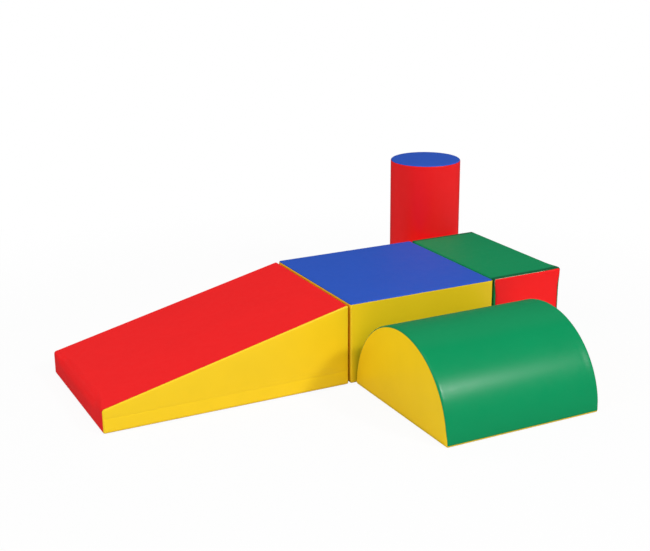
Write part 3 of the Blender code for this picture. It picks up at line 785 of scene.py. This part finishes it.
def coil_tree():
    """One side of a zip's chain: a nylon wire wound into a flat spiral along X, from 0 on."""
    tree, given = new_tree("coil", "Length", "Width", "Height", "Pitch", "Wire")
    turns = add_node(tree, "ShaderNodeMath", {0: given["Length"], 1: given["Pitch"]}, operation="DIVIDE")
    spiral = {"Resolution": 8, "Rotations": turns, "Height": given["Length"]}
    spiral |= {"Start Radius": 0.5, "End Radius": 0.5}
    size = {"Z": 1}
    for axis, label in (("X", "Height"), ("Y", "Width")):
        inside = {0: given["Wire"], 1: -2, 2: given[label]}
        size[axis] = add_node(tree, "ShaderNodeMath", inside, operation="MULTIPLY_ADD")
    scale = add_node(tree, "ShaderNodeCombineXYZ", size)
    flat = {"Geometry": add_node(tree, "GeometryNodeCurveSpiral", spiral), "Scale": scale}
    lying = {"Geometry": add_node(tree, "GeometryNodeTransform", flat), "Rotation": (0, math.pi / 2, 0)}
    wound = add_node(tree, "GeometryNodeTransform", lying)
    return end_tree(tree, given, wire(tree, wound, given["Wire"], sides=4))


def pile_tree(name, middle, end):
    """Small nylon curls from 0 by way of a middle to an end, on a grid in XY, each turned its own way."""
    tree, given = new_tree(name, "Length", "Width", "Pitch", "Wire")
    grid = {"Size X": given["Length"], "Size Y": given["Width"]}
    for axis, label in (("X", "Length"), ("Y", "Width")):
        spaced = {0: given[label], 1: given["Pitch"]}
        grid["Vertices " + axis] = add_node(tree, "ShaderNodeMath", spaced, operation="DIVIDE")
    strewn = {
        "Geometry": add_node(tree, "GeometryNodeMeshGrid", grid),
        "Offset": add_node(tree, "FunctionNodeRandomValue", PILE_JITTER, data_type="FLOAT_VECTOR"),
    }
    bow = {"Resolution": 5, "Start": (0, 0, 0), "Middle": middle, "End": end}
    curl = add_node(tree, "GeometryNodeCurveQuadraticBezier", bow)
    curls = {
        "Points": add_node(tree, "GeometryNodeSetPosition", strewn),
        "Instance": wire(tree, curl, given["Wire"], sides=3),
        "Rotation": add_node(tree, "FunctionNodeRandomValue", PILE_TURN, data_type="FLOAT_VECTOR"),
    }
    return end_tree(tree, given, add_node(tree, "GeometryNodeInstanceOnPoints", curls))


def grown(name, tree, finish, base=None, **values):
    """The mesh that a tree makes, from a base mesh or from nothing."""
    made = carrier(name, base or bpy.data.meshes.new(name + "_base"))
    step = made.modifiers.new("grow", "NODES")
    step.node_group = tree
    values["Material"] = finish
    for socket in tree.interface.items_tree:
        if socket.in_out == "INPUT" and socket.name in values:
            step[socket.identifier] = values[socket.name]
    return baked(made)


STITCHES = stitch_tree()
COILS = coil_tree()
HOOK_PILE = pile_tree("hook_pile", HOOK_MIDDLE, HOOK_END)
LOOP_PILE = pile_tree("loop_pile", LOOP_MIDDLE, LOOP_END)


def add_stitches(name, lines, outward, cloth, body):
    """Thread along lines of points on a cloth that faces outward."""
    points, edges = [], []
    for line in lines:
        edges += [(len(points) + i, len(points) + i + 1) for i in range(len(line) - 1)]
        points += line
    paths = bpy.data.meshes.new(name + "_lines")
    paths.from_pydata(points, edges, [])
    made = paths.attributes.new("outward", "FLOAT_VECTOR", "POINT")
    made.data.foreach_set("vector", np.tile(outward, len(points)).astype(np.float32))
    finish = THREADS[cloth]
    sizes = {"Pitch": STITCH_PITCH, "Length": STITCH_LENGTH, "Thread": THREAD}
    return add_piece(name, grown(name, STITCHES, finish, paths, **sizes), finish, body)


# Modules: foam, cover panels, base and zip


class Module:
    """A module's box in the frame, its seams, the axes of its base and zip, and the vinyl of its base."""

    base_sides = ("front", "rear")

    def __init__(self, name, cloth, seams, zip_axis=0, zip_margin=ZIP_END_MARGIN):
        self.name = name
        self.seams = seams
        self.foam = name + "_foam"
        self.cloth = cloth
        covers = [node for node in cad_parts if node.endswith(("_panel", "_band"))]
        boxes = [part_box(node) for node in covers if node.startswith(name)]
        self.low = [min(box[0][i] for box in boxes) for i in range(3)]
        self.high = [max(box[1][i] for box in boxes) for i in range(3)]
        self.size = [high - low for low, high in zip(self.low, self.high)]
        self.middle = [(high + low) / 2 for low, high in zip(self.low, self.high)]
        self.half_length = self.size[zip_axis] / 2
        self.half_width = self.size[1 - zip_axis] / 2
        self.zip_half = self.half_length - zip_margin
        turn = Matrix.Rotation(zip_axis * math.pi / 2, 4, "Z")
        self.matrix = Matrix.Translation((self.middle[0], self.middle[1], 0)) @ turn

    def add_panel(self, panel, mesh, finish, flat):
        """A vinyl panel drawn over the foam, in place of its CAD node. The flat size is not used."""
        node = f"{self.name}_{panel}"
        piece = add_piece("cover_" + node, mesh, finish, self.name)
        thicken(piece, SHEET)
        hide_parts(node)

    def add_foam(self, axis, arcs, low, high):
        """The foam core: a sawn block with eased edges, hollowed over the zip."""
        places, angles, _ = trace(arcs, True, COARSE_STEP)
        outline = places + (EDGE - CORE_INSET) * unit(angles)
        block = carrier(self.foam, prism(self.foam, axis, outline, low + CORE_INSET, high - CORE_INSET))
        hollow = TUNNEL + [(-across, up) for across, up in reversed(TUNNEL)]
        reach = self.zip_half + HEM_WIDTH + TUNNEL_MARGIN
        groove = prism(self.foam + "_groove", 0, hollow, -reach, reach)
        groove.transform(self.matrix)
        cutter = carrier(self.foam + "_groove", groove)
        cut = block.modifiers.new("zip_groove", "BOOLEAN")
        cut.object = cutter
        cut.solver = "EXACT"
        eased = block.modifiers.new("eased_edges", "BEVEL")
        eased.limit_method = "ANGLE"
        eased.angle_limit = CORE_SHARP
        eased.width = CORE_EASE
        eased.segments = 2
        mesh = baked(block)
        bpy.data.objects.remove(cutter, do_unlink=True)
        piece = add_piece(self.foam, mesh, FOAM, self.name)
        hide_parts(self.name + "_foam_core")

    def add_base(self, half_outline):
        """The base's two halves and the zip between them."""
        for side_name, side in zip(self.base_sides, (-1, 1)):
            mesh = base_mesh(self, half_outline, side)
            mesh.transform(self.matrix)
            flat = (2 * self.half_length, self.half_width)
            self.add_panel(side_name + "_base_panel", mesh, self.cloth, flat)
            add_stringer(self, side_name, side)
        add_slider(self)


def base_mesh(module, half_outline, side):
    """Half a base in its zip's axes: flat from the seam to the slot, where a hem turns up and back."""
    seams, zip_half, reach = module.seams, module.zip_half, module.half_length - EDGE
    places, angles, _ = trace(half_outline, False)
    normal = unit(angles)
    edge = seams.distances(math.pi / 2 - seams.base)
    rows = []
    for lean, radius in zip(seams.base + edge / EDGE, EDGE - seams.sunk(edge)):
        level = np.full(len(places), EDGE - radius * math.sin(lean))
        rows.append(np.column_stack([places + radius * math.cos(lean) * normal, level]))

    run = np.linspace(0, math.pi, len(places))
    along = reach * np.cos(run) * (1 - HEM_PULL_SHARE * np.sin(run) ** 2)
    for end in (-1, 1):
        nearest = np.abs(along - end * zip_half).argmin()
        along[[nearest, nearest - end]] = end * zip_half, end * (zip_half + SLOT_TAPER)
    opened = 1 - smooth(np.abs(along), zip_half, zip_half + SLOT_TAPER)
    hem = CLOSED_SHARE + (1 - CLOSED_SHARE) * opened
    slot = CLOSED_SHARE * MM + SLOT_EDGE * opened
    first = np.column_stack([along, slot + HEM_LINES[0] * hem])
    count = math.ceil(places[:, 1].max() / BASE_STEP)
    for share in np.arange(1, count + 1) / count:
        rows.append(np.column_stack([places + share * (first - places), 0 * along]))
    for line in HEM_LINES[1:]:
        dips = sum(math.exp(-(((line - stitch) / STITCH_SPREAD) ** 2)) for stitch in STITCH_LINES)
        rows.append(np.column_stack([along, slot + line * hem, STITCH_SINK * dips * opened]))

    roll = HEM_ROLL * hem
    turned = math.pi / 2 * (1 + opened)
    for angle in np.outer(np.linspace(0, 1, HEM_STEPS + 1), turned):
        rows.append(np.column_stack([along, slot + roll * (1 - np.sin(angle)), roll * (1 - np.cos(angle))]))
    flap = (HEM_WIDTH - HEM_ROLL) * hem
    back = np.column_stack([0 * along, -np.cos(turned) * flap, np.sin(turned) * flap])
    rows += [rows[-1] + back / 2, rows[-1] + back]

    points = np.array(rows)
    points[..., 1] *= side
    outward = np.zeros_like(points)
    outward[..., 2] = -1
    seam = np.full(points.shape[:2], STEP)
    seam[: len(edge)] = edge[:, None]
    return grid_mesh(points, outward, seam=seam, groove=seams.groove(seam))


def half_rectangle(half_length, half_width):
    """The arcs of a rounded rectangle's far half, from its right side round to its left."""
    right, far = half_length - EDGE, half_width - EDGE
    return [
        (np.array([right, 0]), EDGE, 0, 0, 0),
        (np.array([right, far]), EDGE, 0, math.pi / 2, 0),
        (np.array([-right, far]), EDGE, math.pi / 2, math.pi, 0),
        (np.array([-right, 0]), EDGE, math.pi, math.pi, 0),
    ]


# Zips


def tape_mesh(zip_half, side):
    """A stringer's tape, corded along its inner edge and a little wavy along its outer one."""
    along = np.linspace(-zip_half - HEM_WIDTH, zip_half + HEM_WIDTH, math.ceil(zip_half / STEP) + 1)
    across = TAPE_LINE_SHARES * TAPE_WIDTH
    ripple = TAPE_RIPPLE * np.outer(np.sin(along / TAPE_RIPPLE_LENGTH), TAPE_LINE_SHARES)
    points = np.zeros((len(along), len(across), 3))
    points[..., 0] = along[:, None]
    points[..., 1] = side * (TAPE_EDGE + across)[None, :]
    points[..., 2] = TAPE_LEVEL - TAPE_SINK + TAPE_RISES + ripple
    outward = np.zeros_like(points)
    outward[..., 2] = 1
    return grid_mesh(points, outward)


def stop_mesh(name, zip_half, across):
    """The two metal stops of a stringer."""
    bm = bmesh.new()
    for end in (-1, 1):
        spot = (end * (zip_half - STOP_LENGTH / 2), across, TAPE_LEVEL + STOP_HEIGHT / 2)
        size = Matrix.Diagonal((STOP_LENGTH, COIL_PLACE[1] - COIL_PLACE[0], STOP_HEIGHT, 1))
        bmesh.ops.create_cube(bm, size=1, matrix=Matrix.Translation(spot) @ size)
    bmesh.ops.bevel(bm, geom=bm.edges, offset=STOP_EASE, segments=2, affect="EDGES", profile=0.7)
    return finished(bm, name)


def add_stringer(module, side_name, side):
    """A tape with its coil and stops, and the two rows of stitches that hold it in the hem."""
    node = f"{module.name}_{side_name}_zip_stringer"
    across = side * sum(COIL_PLACE) / 2
    length = 2 * (module.zip_half - STOP_LENGTH)
    sizes = {"Length": length, "Width": COIL_PLACE[1] - COIL_PLACE[0], "Height": COIL_HEIGHT}
    coil = grown(node + "_coil", COILS, COIL, **sizes, Pitch=COIL_PITCH, Wire=COIL_WIRE)
    coil.transform(Matrix.Translation((-length / 2, across, TAPE_LEVEL + COIL_HEIGHT / 2)))
    tape = tape_mesh(module.zip_half, side)
    stops = stop_mesh(node + "_stops", module.zip_half, across)
    pieces = []
    for part, mesh, finish in (("tape", tape, TAPE), ("coil", coil, COIL), ("stops", stops, ZINC)):
        mesh.transform(module.matrix)
        pieces.append(add_piece(f"{node}_{part}", mesh, finish, module.name))
        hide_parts(node)
    thicken(pieces[0], TAPE_THICKNESS)

    lines = []
    for line in STITCH_LINES:
        ends = [(end * module.zip_half, side * (SLOT_EDGE + line), STITCH_SINK) for end in (-1, 1)]
        lines.append([module.matrix @ Vector(end) for end in ends])
    name = f"{module.name}_{side_name}_hem_stitches"
    add_stitches(name, lines, (0, 0, -1), module.cloth, module.name)


def add_slider(module):
    """The slider's CAD solid with its edges eased."""
    node = module.name + "_zip_slider"
    source = bpy.data.objects[node]
    bm = bmesh.new()
    bm.from_mesh(source.data)
    bm.transform(source.matrix_world)
    bmesh.ops.remove_doubles(bm, verts=bm.verts, dist=SLIDER_MERGE)
    bmesh.ops.dissolve_limit(bm, angle_limit=SLIDER_FLAT, verts=bm.verts, edges=bm.edges)
    sharp = [edge for edge in bm.edges if edge.is_manifold and edge.calc_face_angle() > SLIDER_SHARP]
    bmesh.ops.bevel(bm, geom=sharp, offset=SLIDER_EASE, segments=2, affect="EDGES", clamp_overlap=True)
    mesh = finished(bm, module.name + "_slider")
    mesh.shade_smooth()
    piece = add_piece(module.name + "_slider", mesh, ZINC, node)
    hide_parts(node)


# Hook-and-loop strips


def add_strip(module, node, kind):
    """A strip: its woven backing, the pile on it and the stitches round its edge."""
    low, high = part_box(node)
    size = high - low
    away = 1 if "_right_" in node else -1
    spot = (low.x if away > 0 else high.x, (low.y + high.y) / 2, (low.z + high.z) / 2)
    matrix = Matrix.Translation(spot) @ Matrix(((0, 0, away), (away, 0, 0), (0, 1, 0))).to_4x4()
    right, top = size.y / 2, size.z / 2
    corners = [(right, -top), (right, top), (-right, top), (-right, -top)]
    arcs = polygon(corners, [STRIP_CORNER] * 4, [0] * 4)
    places, angles, _ = trace(arcs, True, COARSE_STEP)

    def ring(inset, rise):
        return np.column_stack([places + (EDGE - inset) * unit(angles), np.full(len(places), rise)])

    points = np.array([ring(inset, rise) for inset, rise in STRIP_RINGS])
    outward = np.zeros_like(points)
    outward[..., 2] = 1
    backing = grid_mesh(points, outward, True, cap=True)
    backing.transform(matrix)
    piece = add_piece(node + "_backing", backing, TAPE, module.name)
    thicken(piece, STRIP_SHEET)
    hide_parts(node)

    bare = 2 * (STRIP_STITCH_INSET + PILE_MARGIN)
    tree, finish = (HOOK_PILE, HOOKS) if kind == "hook" else (LOOP_PILE, LOOPS)
    sizes = {"Length": size.y - bare, "Width": size.z - bare, "Pitch": PILE_PITCH, "Wire": PILE_WIRE}
    pile = grown(node + "_pile", tree, finish, **sizes)
    pile.transform(matrix @ Matrix.Translation((0, 0, STRIP_BACKING - PILE_SINK)))
    pile_piece = add_piece(node + "_pile", pile, finish, module.name)
    path = ring(STRIP_STITCH_INSET, STRIP_BACKING - STRIP_THREAD_SINK)
    line = [matrix @ Vector(point) for point in [*path, path[0]]]
    thread = add_stitches(node + "_stitches", [line], (away, 0, 0), TAPE, module.name)


def add_strips(module):
    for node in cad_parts:
        if node.startswith(module.name) and node.endswith("_strip"):
            add_strip(module, node, node.split("_")[-2])


# The five modules


def folded(mesh, facing):
    """Crease a side panel along two lines above the floor, and let its foot flare below them."""
    bm = bmesh.new()
    bm.from_mesh(mesh)
    for row in FOLD_ROWS:
        geom = [*bm.verts, *bm.edges, *bm.faces]
        bmesh.ops.bisect_plane(bm, geom=geom, dist=MERGE, plane_co=(0, 0, row), plane_no=(0, 0, 1))
    seam = bm.verts.layers.float["seam"]
    for vert in bm.verts:
        lift = FOLD_SWELL * max(0, 1 - vert.co.z / FOLDS[0][0])
        for (height, depth), share in zip(FOLDS, (1, smooth(vert.co.x, *UPPER_FOLD_START))):
            lift -= depth * share * math.exp(-(((vert.co.z - height) / FOLD_SPREAD) ** 2))
        vert.co.y += facing * lift * smooth(vert[seam], FOLD_START, EDGE)
    bm.to_mesh(mesh)
    bm.free()
    return mesh


def dress_ramp():
    seams = Seams(RAMP_SIDE_SEAM, RAMP_BASE_SEAM)
    ramp = Module("ramp", RED, seams)
    low, high = ramp.low, ramp.high
    corners = [(high[0], 0), (high[0], high[2]), (low[0], RAMP_LOW_HEIGHT), (low[0], 0)]
    crowns = (STRIP_CROWN, TOP_CROWN, SIDE_CROWN, 0)
    arcs = polygon(corners, (EDGE, EDGE, TOE_RADIUS, EDGE), crowns)
    toe, _, toe_start, toe_end, _ = arcs[2]
    middle, half_turn = unit((toe_start + toe_end) / 2), (toe_end - toe_start) / 2

    def toe_shape(points, normal, from_low, from_high):
        """Back from the sewn fold to one whose radius grows away from the sides."""
        free = smooth(np.minimum(from_low, from_high), *TOE_TIGHT_REACH)
        radius = TOE_RADIUS + (SOFT_TOE_RADIUS - TOE_RADIUS) * free
        centre = toe - ((radius - TOE_RADIUS) / math.cos(half_turn))[..., None] * middle
        arm = points[..., [0, 2]] - centre
        length = np.linalg.norm(arm, axis=-1)
        out = (arm * normal).sum(axis=-1)
        gap = out - np.sqrt(np.maximum(out**2 - length**2 + radius**2, 0))
        return -np.where(arm @ middle > length * math.cos(half_turn), gap, 0)

    ramp.add_foam(1, polygon(corners, (EDGE, EDGE, SOFT_TOE_RADIUS, EDGE), crowns), low[1], high[1])
    slope = tube_panel(1, arcs, low[1], high[1], seams, seed=11, shape=toe_shape)
    ramp.add_panel("slope_panel", slope, RED, (outer_length(arcs), ramp.size[1]))
    ends = ((low[0], RAMP_SPINE_START), (high[0], RAMP_SPINE_END))
    spine = [(end + away, up) for end, (away, up) in ends]
    for side, level, facing in (("front", low[1], -1), ("rear", high[1], 1)):
        name = f"{side}_side_panel"
        mesh = face_panel(1, arcs, level, facing, spine, SIDE_CROWN, seams, seed=20 + facing)
        ramp.add_panel(name, folded(mesh, facing), YELLOW, (ramp.size[0], high[2]))
    ramp.add_base(half_rectangle(ramp.half_length, ramp.half_width))
    add_strips(ramp)


def dress_large_block():
    seams = Seams(LARGE_BLOCK_SEAM)
    block = Module("large_block", YELLOW, seams)
    low, high, middle = block.low, block.high, block.middle
    corners = [(high[0], low[1]), (high[0], high[1]), (low[0], high[1]), (low[0], low[1])]
    arcs = polygon(corners, [EDGE] * 4, (STRIP_CROWN, SIDE_CROWN, STRIP_CROWN, SIDE_CROWN))
    block.add_foam(2, arcs, low[2], high[2])
    band = tube_panel(2, arcs, low[2], high[2], seams, seed=31, closed=True)
    block.add_panel("side_band", band, YELLOW, (2 * (block.size[0] + block.size[1]), high[2]))
    spine = (middle[:2], middle[:2])
    top = face_panel(2, arcs, high[2], 1, spine, TOP_CROWN, seams, seed=36, over_base=False)
    block.add_panel("top_panel", top, BLUE, block.size[:2])
    block.add_base(half_rectangle(block.half_length, block.half_width))
    add_strips(block)


def dress_small_block():
    seams = Seams(
        SMALL_BLOCK_SIDE_SEAM,
        roll=SMALL_BLOCK_ROLL,
        top=SMALL_BLOCK_TOP_SEAM,
        top_seam_shade_reach=SMALL_BLOCK_SHADE_REACH,
    )
    block = Module("small_block", GREEN, seams, zip_axis=1)
    block.base_sides = ("right", "left")
    low, high, middle = block.low, block.high, block.middle
    corners = [(high[0], 0), (high[0], high[2]), (low[0], high[2]), (low[0], 0)]
    arcs = polygon(corners, [EDGE] * 4, (SIDE_CROWN, TOP_CROWN, STRIP_CROWN, 0))
    block.add_foam(1, arcs, low[1], high[1])

    def ear(points, *rest):
        """The corner that stands out, because the foam in it is worn round."""
        away = np.linalg.norm(points - np.array([high[0], low[1], high[2]]), axis=-1)
        return EAR * np.exp(-((away / EAR_REACH) ** 2))

    wrap = tube_panel(1, arcs, low[1], high[1], seams, seed=41, shape=ear)
    block.add_panel("wrap_panel", wrap, GREEN, (outer_length(arcs), block.size[1]))
    centre = (middle[0], middle[2])
    spine = (centre, centre)
    for side, level, facing in (("front", low[1], -1), ("rear", high[1], 1)):
        name = f"{side}_end_panel"
        seed = 50 + facing
        mesh = face_panel(1, arcs, level, facing, spine, SIDE_CROWN, seams, seed, shape=ear)
        block.add_panel(name, mesh, RED, (block.size[0], high[2]))
    block.add_base(half_rectangle(block.half_length, block.half_width))
    add_strips(block)


def dress_half_round():
    seams = Seams(HALF_ROUND_SIDE_SEAM, HALF_ROUND_BASE_SEAM)
    half_round = Module("half_round", YELLOW, seams)
    low, high, middle = half_round.low, half_round.high, half_round.middle
    radius = high[2]
    foot = math.sqrt((radius - EDGE) ** 2 - EDGE**2)
    tip = math.atan2(EDGE, foot)
    arcs = [
        (np.array([middle[1] + foot, EDGE]), EDGE, -math.pi / 2, tip, 0),
        (np.array([middle[1], 0]), radius, tip, math.pi - tip, 0),
        (np.array([middle[1] - foot, EDGE]), EDGE, math.pi - tip, 3 * math.pi / 2, 0),
    ]
    half_round.add_foam(0, arcs, low[0], high[0])

    def flare(points, seam, reach=EDGE):
        """How far the right end's edge stands out, but not at the base, which holds it."""
        out = FLARE_HEIGHT * np.clip(1 - seam / reach, 0, 1) ** 2
        return out * smooth(points[..., 2], EDGE, CORNER_REACH)

    def flared_end(points, normal, from_low, from_high):
        crease = CREASE_DEPTH * np.exp(-(((from_high - FLARE_REACH) / CREASE_SPREAD) ** 2))
        return flare(points, from_high, FLARE_REACH) - crease

    curved = tube_panel(0, arcs, low[0], high[0], seams, seed=61, shape=flared_end)
    half_round.add_panel("curved_panel", curved, GREEN, (outer_length(arcs), half_round.size[0]))
    half_spine, level = (share * radius for share in HALF_ROUND_SPINE_SHARES)
    spine = ((middle[1] - half_spine, level), (middle[1] + half_spine, level))
    for side, level, facing in (("left", low[0], -1), ("right", high[0], 1)):
        name = f"{side}_end_panel"
        shape = flare if facing > 0 else None
        seed = 70 + facing
        mesh = face_panel(0, arcs, level, facing, spine, SIDE_CROWN, seams, seed, shape=shape)
        half_round.add_panel(name, mesh, YELLOW, (2 * radius, radius))
    half_round.add_base(half_rectangle(half_round.half_length, foot + EDGE))


def dress_cylinder():
    seams = Seams(CYLINDER_SEAM)
    cylinder = Module("cylinder", RED, seams, zip_margin=CYLINDER_ZIP_END_MARGIN)
    low, high, centre = cylinder.low, cylinder.high, cylinder.middle[:2]
    cylinder.half_length -= CYLINDER_TAKE_IN
    radius = cylinder.half_length
    arcs = [(np.array(centre), radius, 0, 2 * math.pi, 0)]
    cylinder.add_foam(2, arcs, low[2], high[2])
    wrap = tube_panel(2, arcs, low[2], high[2], seams, seed=81, closed=True)
    cylinder.add_panel("wrap_panel", wrap, RED, (2 * math.pi * radius, high[2]))
    spine = (centre, centre)
    top = face_panel(2, arcs, high[2], 1, spine, SIDE_CROWN, seams, seed=86, over_base=False)
    cylinder.add_panel("top_panel", top, BLUE, (2 * radius, 2 * radius))
    cylinder.add_base([(np.zeros(2), radius, 0, math.pi, 0)])


# Stage


def background_seen(tree, light, white):
    """White to the camera. Mirror rays see it dim, as the covers in the photograph mirror a dark room."""
    path = add_node(tree, "ShaderNodeLightPath").outputs
    mirror = {0: path["Is Glossy Ray"], 1: path["Is Transmission Ray"]}
    mirrored = add_node(tree, "ShaderNodeMath", mirror, operation="MAXIMUM")
    dim = add_node(tree, "ShaderNodeEmission", {"Color": WHITE, "Strength": DIM_LEVEL})
    around = add_node(tree, "ShaderNodeMixShader", {"Fac": mirrored, 1: light, 2: dim})
    return add_node(tree, "ShaderNodeMixShader", {"Fac": path["Is Camera Ray"], 1: around, 2: white})


def floor_material():
    """A white floor that fades into the background and keeps the object's shadow."""
    made, tree, shader, place = new_material("white_floor")
    tree.nodes.remove(shader)
    plain = add_node(tree, "ShaderNodeBsdfDiffuse", {"Color": FLOOR_GREY})
    glow = add_node(tree, "ShaderNodeEmission", {"Color": WHITE})
    away = add_node(tree, "ShaderNodeVectorMath", {0: place}, operation="LENGTH").outputs["Value"]
    fading = {"Value": away, "From Min": SHADOW_REACH[0], "From Max": SHADOW_REACH[1]}
    fading |= {"To Min": SHADOW_SHARE, "To Max": 0}
    near = add_node(tree, "ShaderNodeMapRange", fading, interpolation_type="SMOOTHSTEP")
    shadowed = add_node(tree, "ShaderNodeMixShader", {"Fac": near, 1: glow, 2: plain})
    set_inputs(tree, tree.nodes["Material Output"], {"Surface": background_seen(tree, plain, shadowed)})
    return made


def make_stage():
    bm = bmesh.new()
    bmesh.ops.create_grid(bm, x_segments=1, y_segments=1, size=FLOOR_SIZE)
    floor = bpy.data.objects.new("floor", finished(bm, "floor"))
    floor.location.z = -FLOOR_DROP
    floor.data.materials.append(floor_material())
    bpy.context.scene.collection.objects.link(floor)

    world = bpy.data.worlds.new("studio")
    bpy.context.scene.world = world
    world.use_nodes = True
    tree = world.node_tree
    tree.nodes.clear()
    light = add_node(tree, "ShaderNodeBackground", {"Color": WHITE, "Strength": AROUND_LEVEL})
    white = add_node(tree, "ShaderNodeBackground", {"Color": WHITE})
    add_node(tree, "ShaderNodeOutputWorld", {"Surface": background_seen(tree, light, white)})


def add_lamp(name, towards, size, level, mirrored):
    """A square area lamp, aimed at the set. At a level of 1 it makes a white face turned to it white."""
    lamp = bpy.data.lights.new(name, "AREA")
    lamp.size = size
    lamp.energy = level * (math.pi * LAMP_DISTANCE) ** 2
    held = bpy.data.objects.new(name, lamp)
    way = Vector(towards).normalized()
    held.location = Vector(LAMP_AIM) + way * LAMP_DISTANCE
    held.rotation_euler = way.to_track_quat("Z", "Y").to_euler()
    held.visible_glossy = mirrored
    bpy.context.scene.collection.objects.link(held)


def make_camera():
    yaw, pitch, roll = (math.radians(angle) for angle in (CAMERA_YAW, CAMERA_PITCH, CAMERA_ROLL))
    forward = Vector((math.sin(yaw) * math.cos(pitch), math.cos(yaw) * math.cos(pitch), -math.sin(pitch)))
    level = Vector((math.cos(yaw), -math.sin(yaw), 0))
    right = level * math.cos(roll) + level.cross(forward) * math.sin(roll)
    data = bpy.data.cameras.new("camera")
    data.sensor_width = SENSOR
    data.lens = CAMERA_FOCAL_PIXELS / PHOTO_WIDTH_PIXELS * SENSOR
    data.clip_end = CLIP_END
    camera = bpy.data.objects.new("camera", data)
    turned = Matrix((right, right.cross(forward), -forward)).transposed()
    camera.matrix_world = Matrix.Translation(CAMERA_PLACE) @ turned.to_4x4()
    bpy.context.scene.collection.objects.link(camera)
    bpy.context.scene.camera = camera


dress_ramp()
dress_large_block()
dress_small_block()
dress_half_round()
dress_cylinder()
make_stage()
for lamp in LAMPS:
    add_lamp(*lamp)
make_camera()
bpy.context.scene.view_settings.view_transform = "Standard"
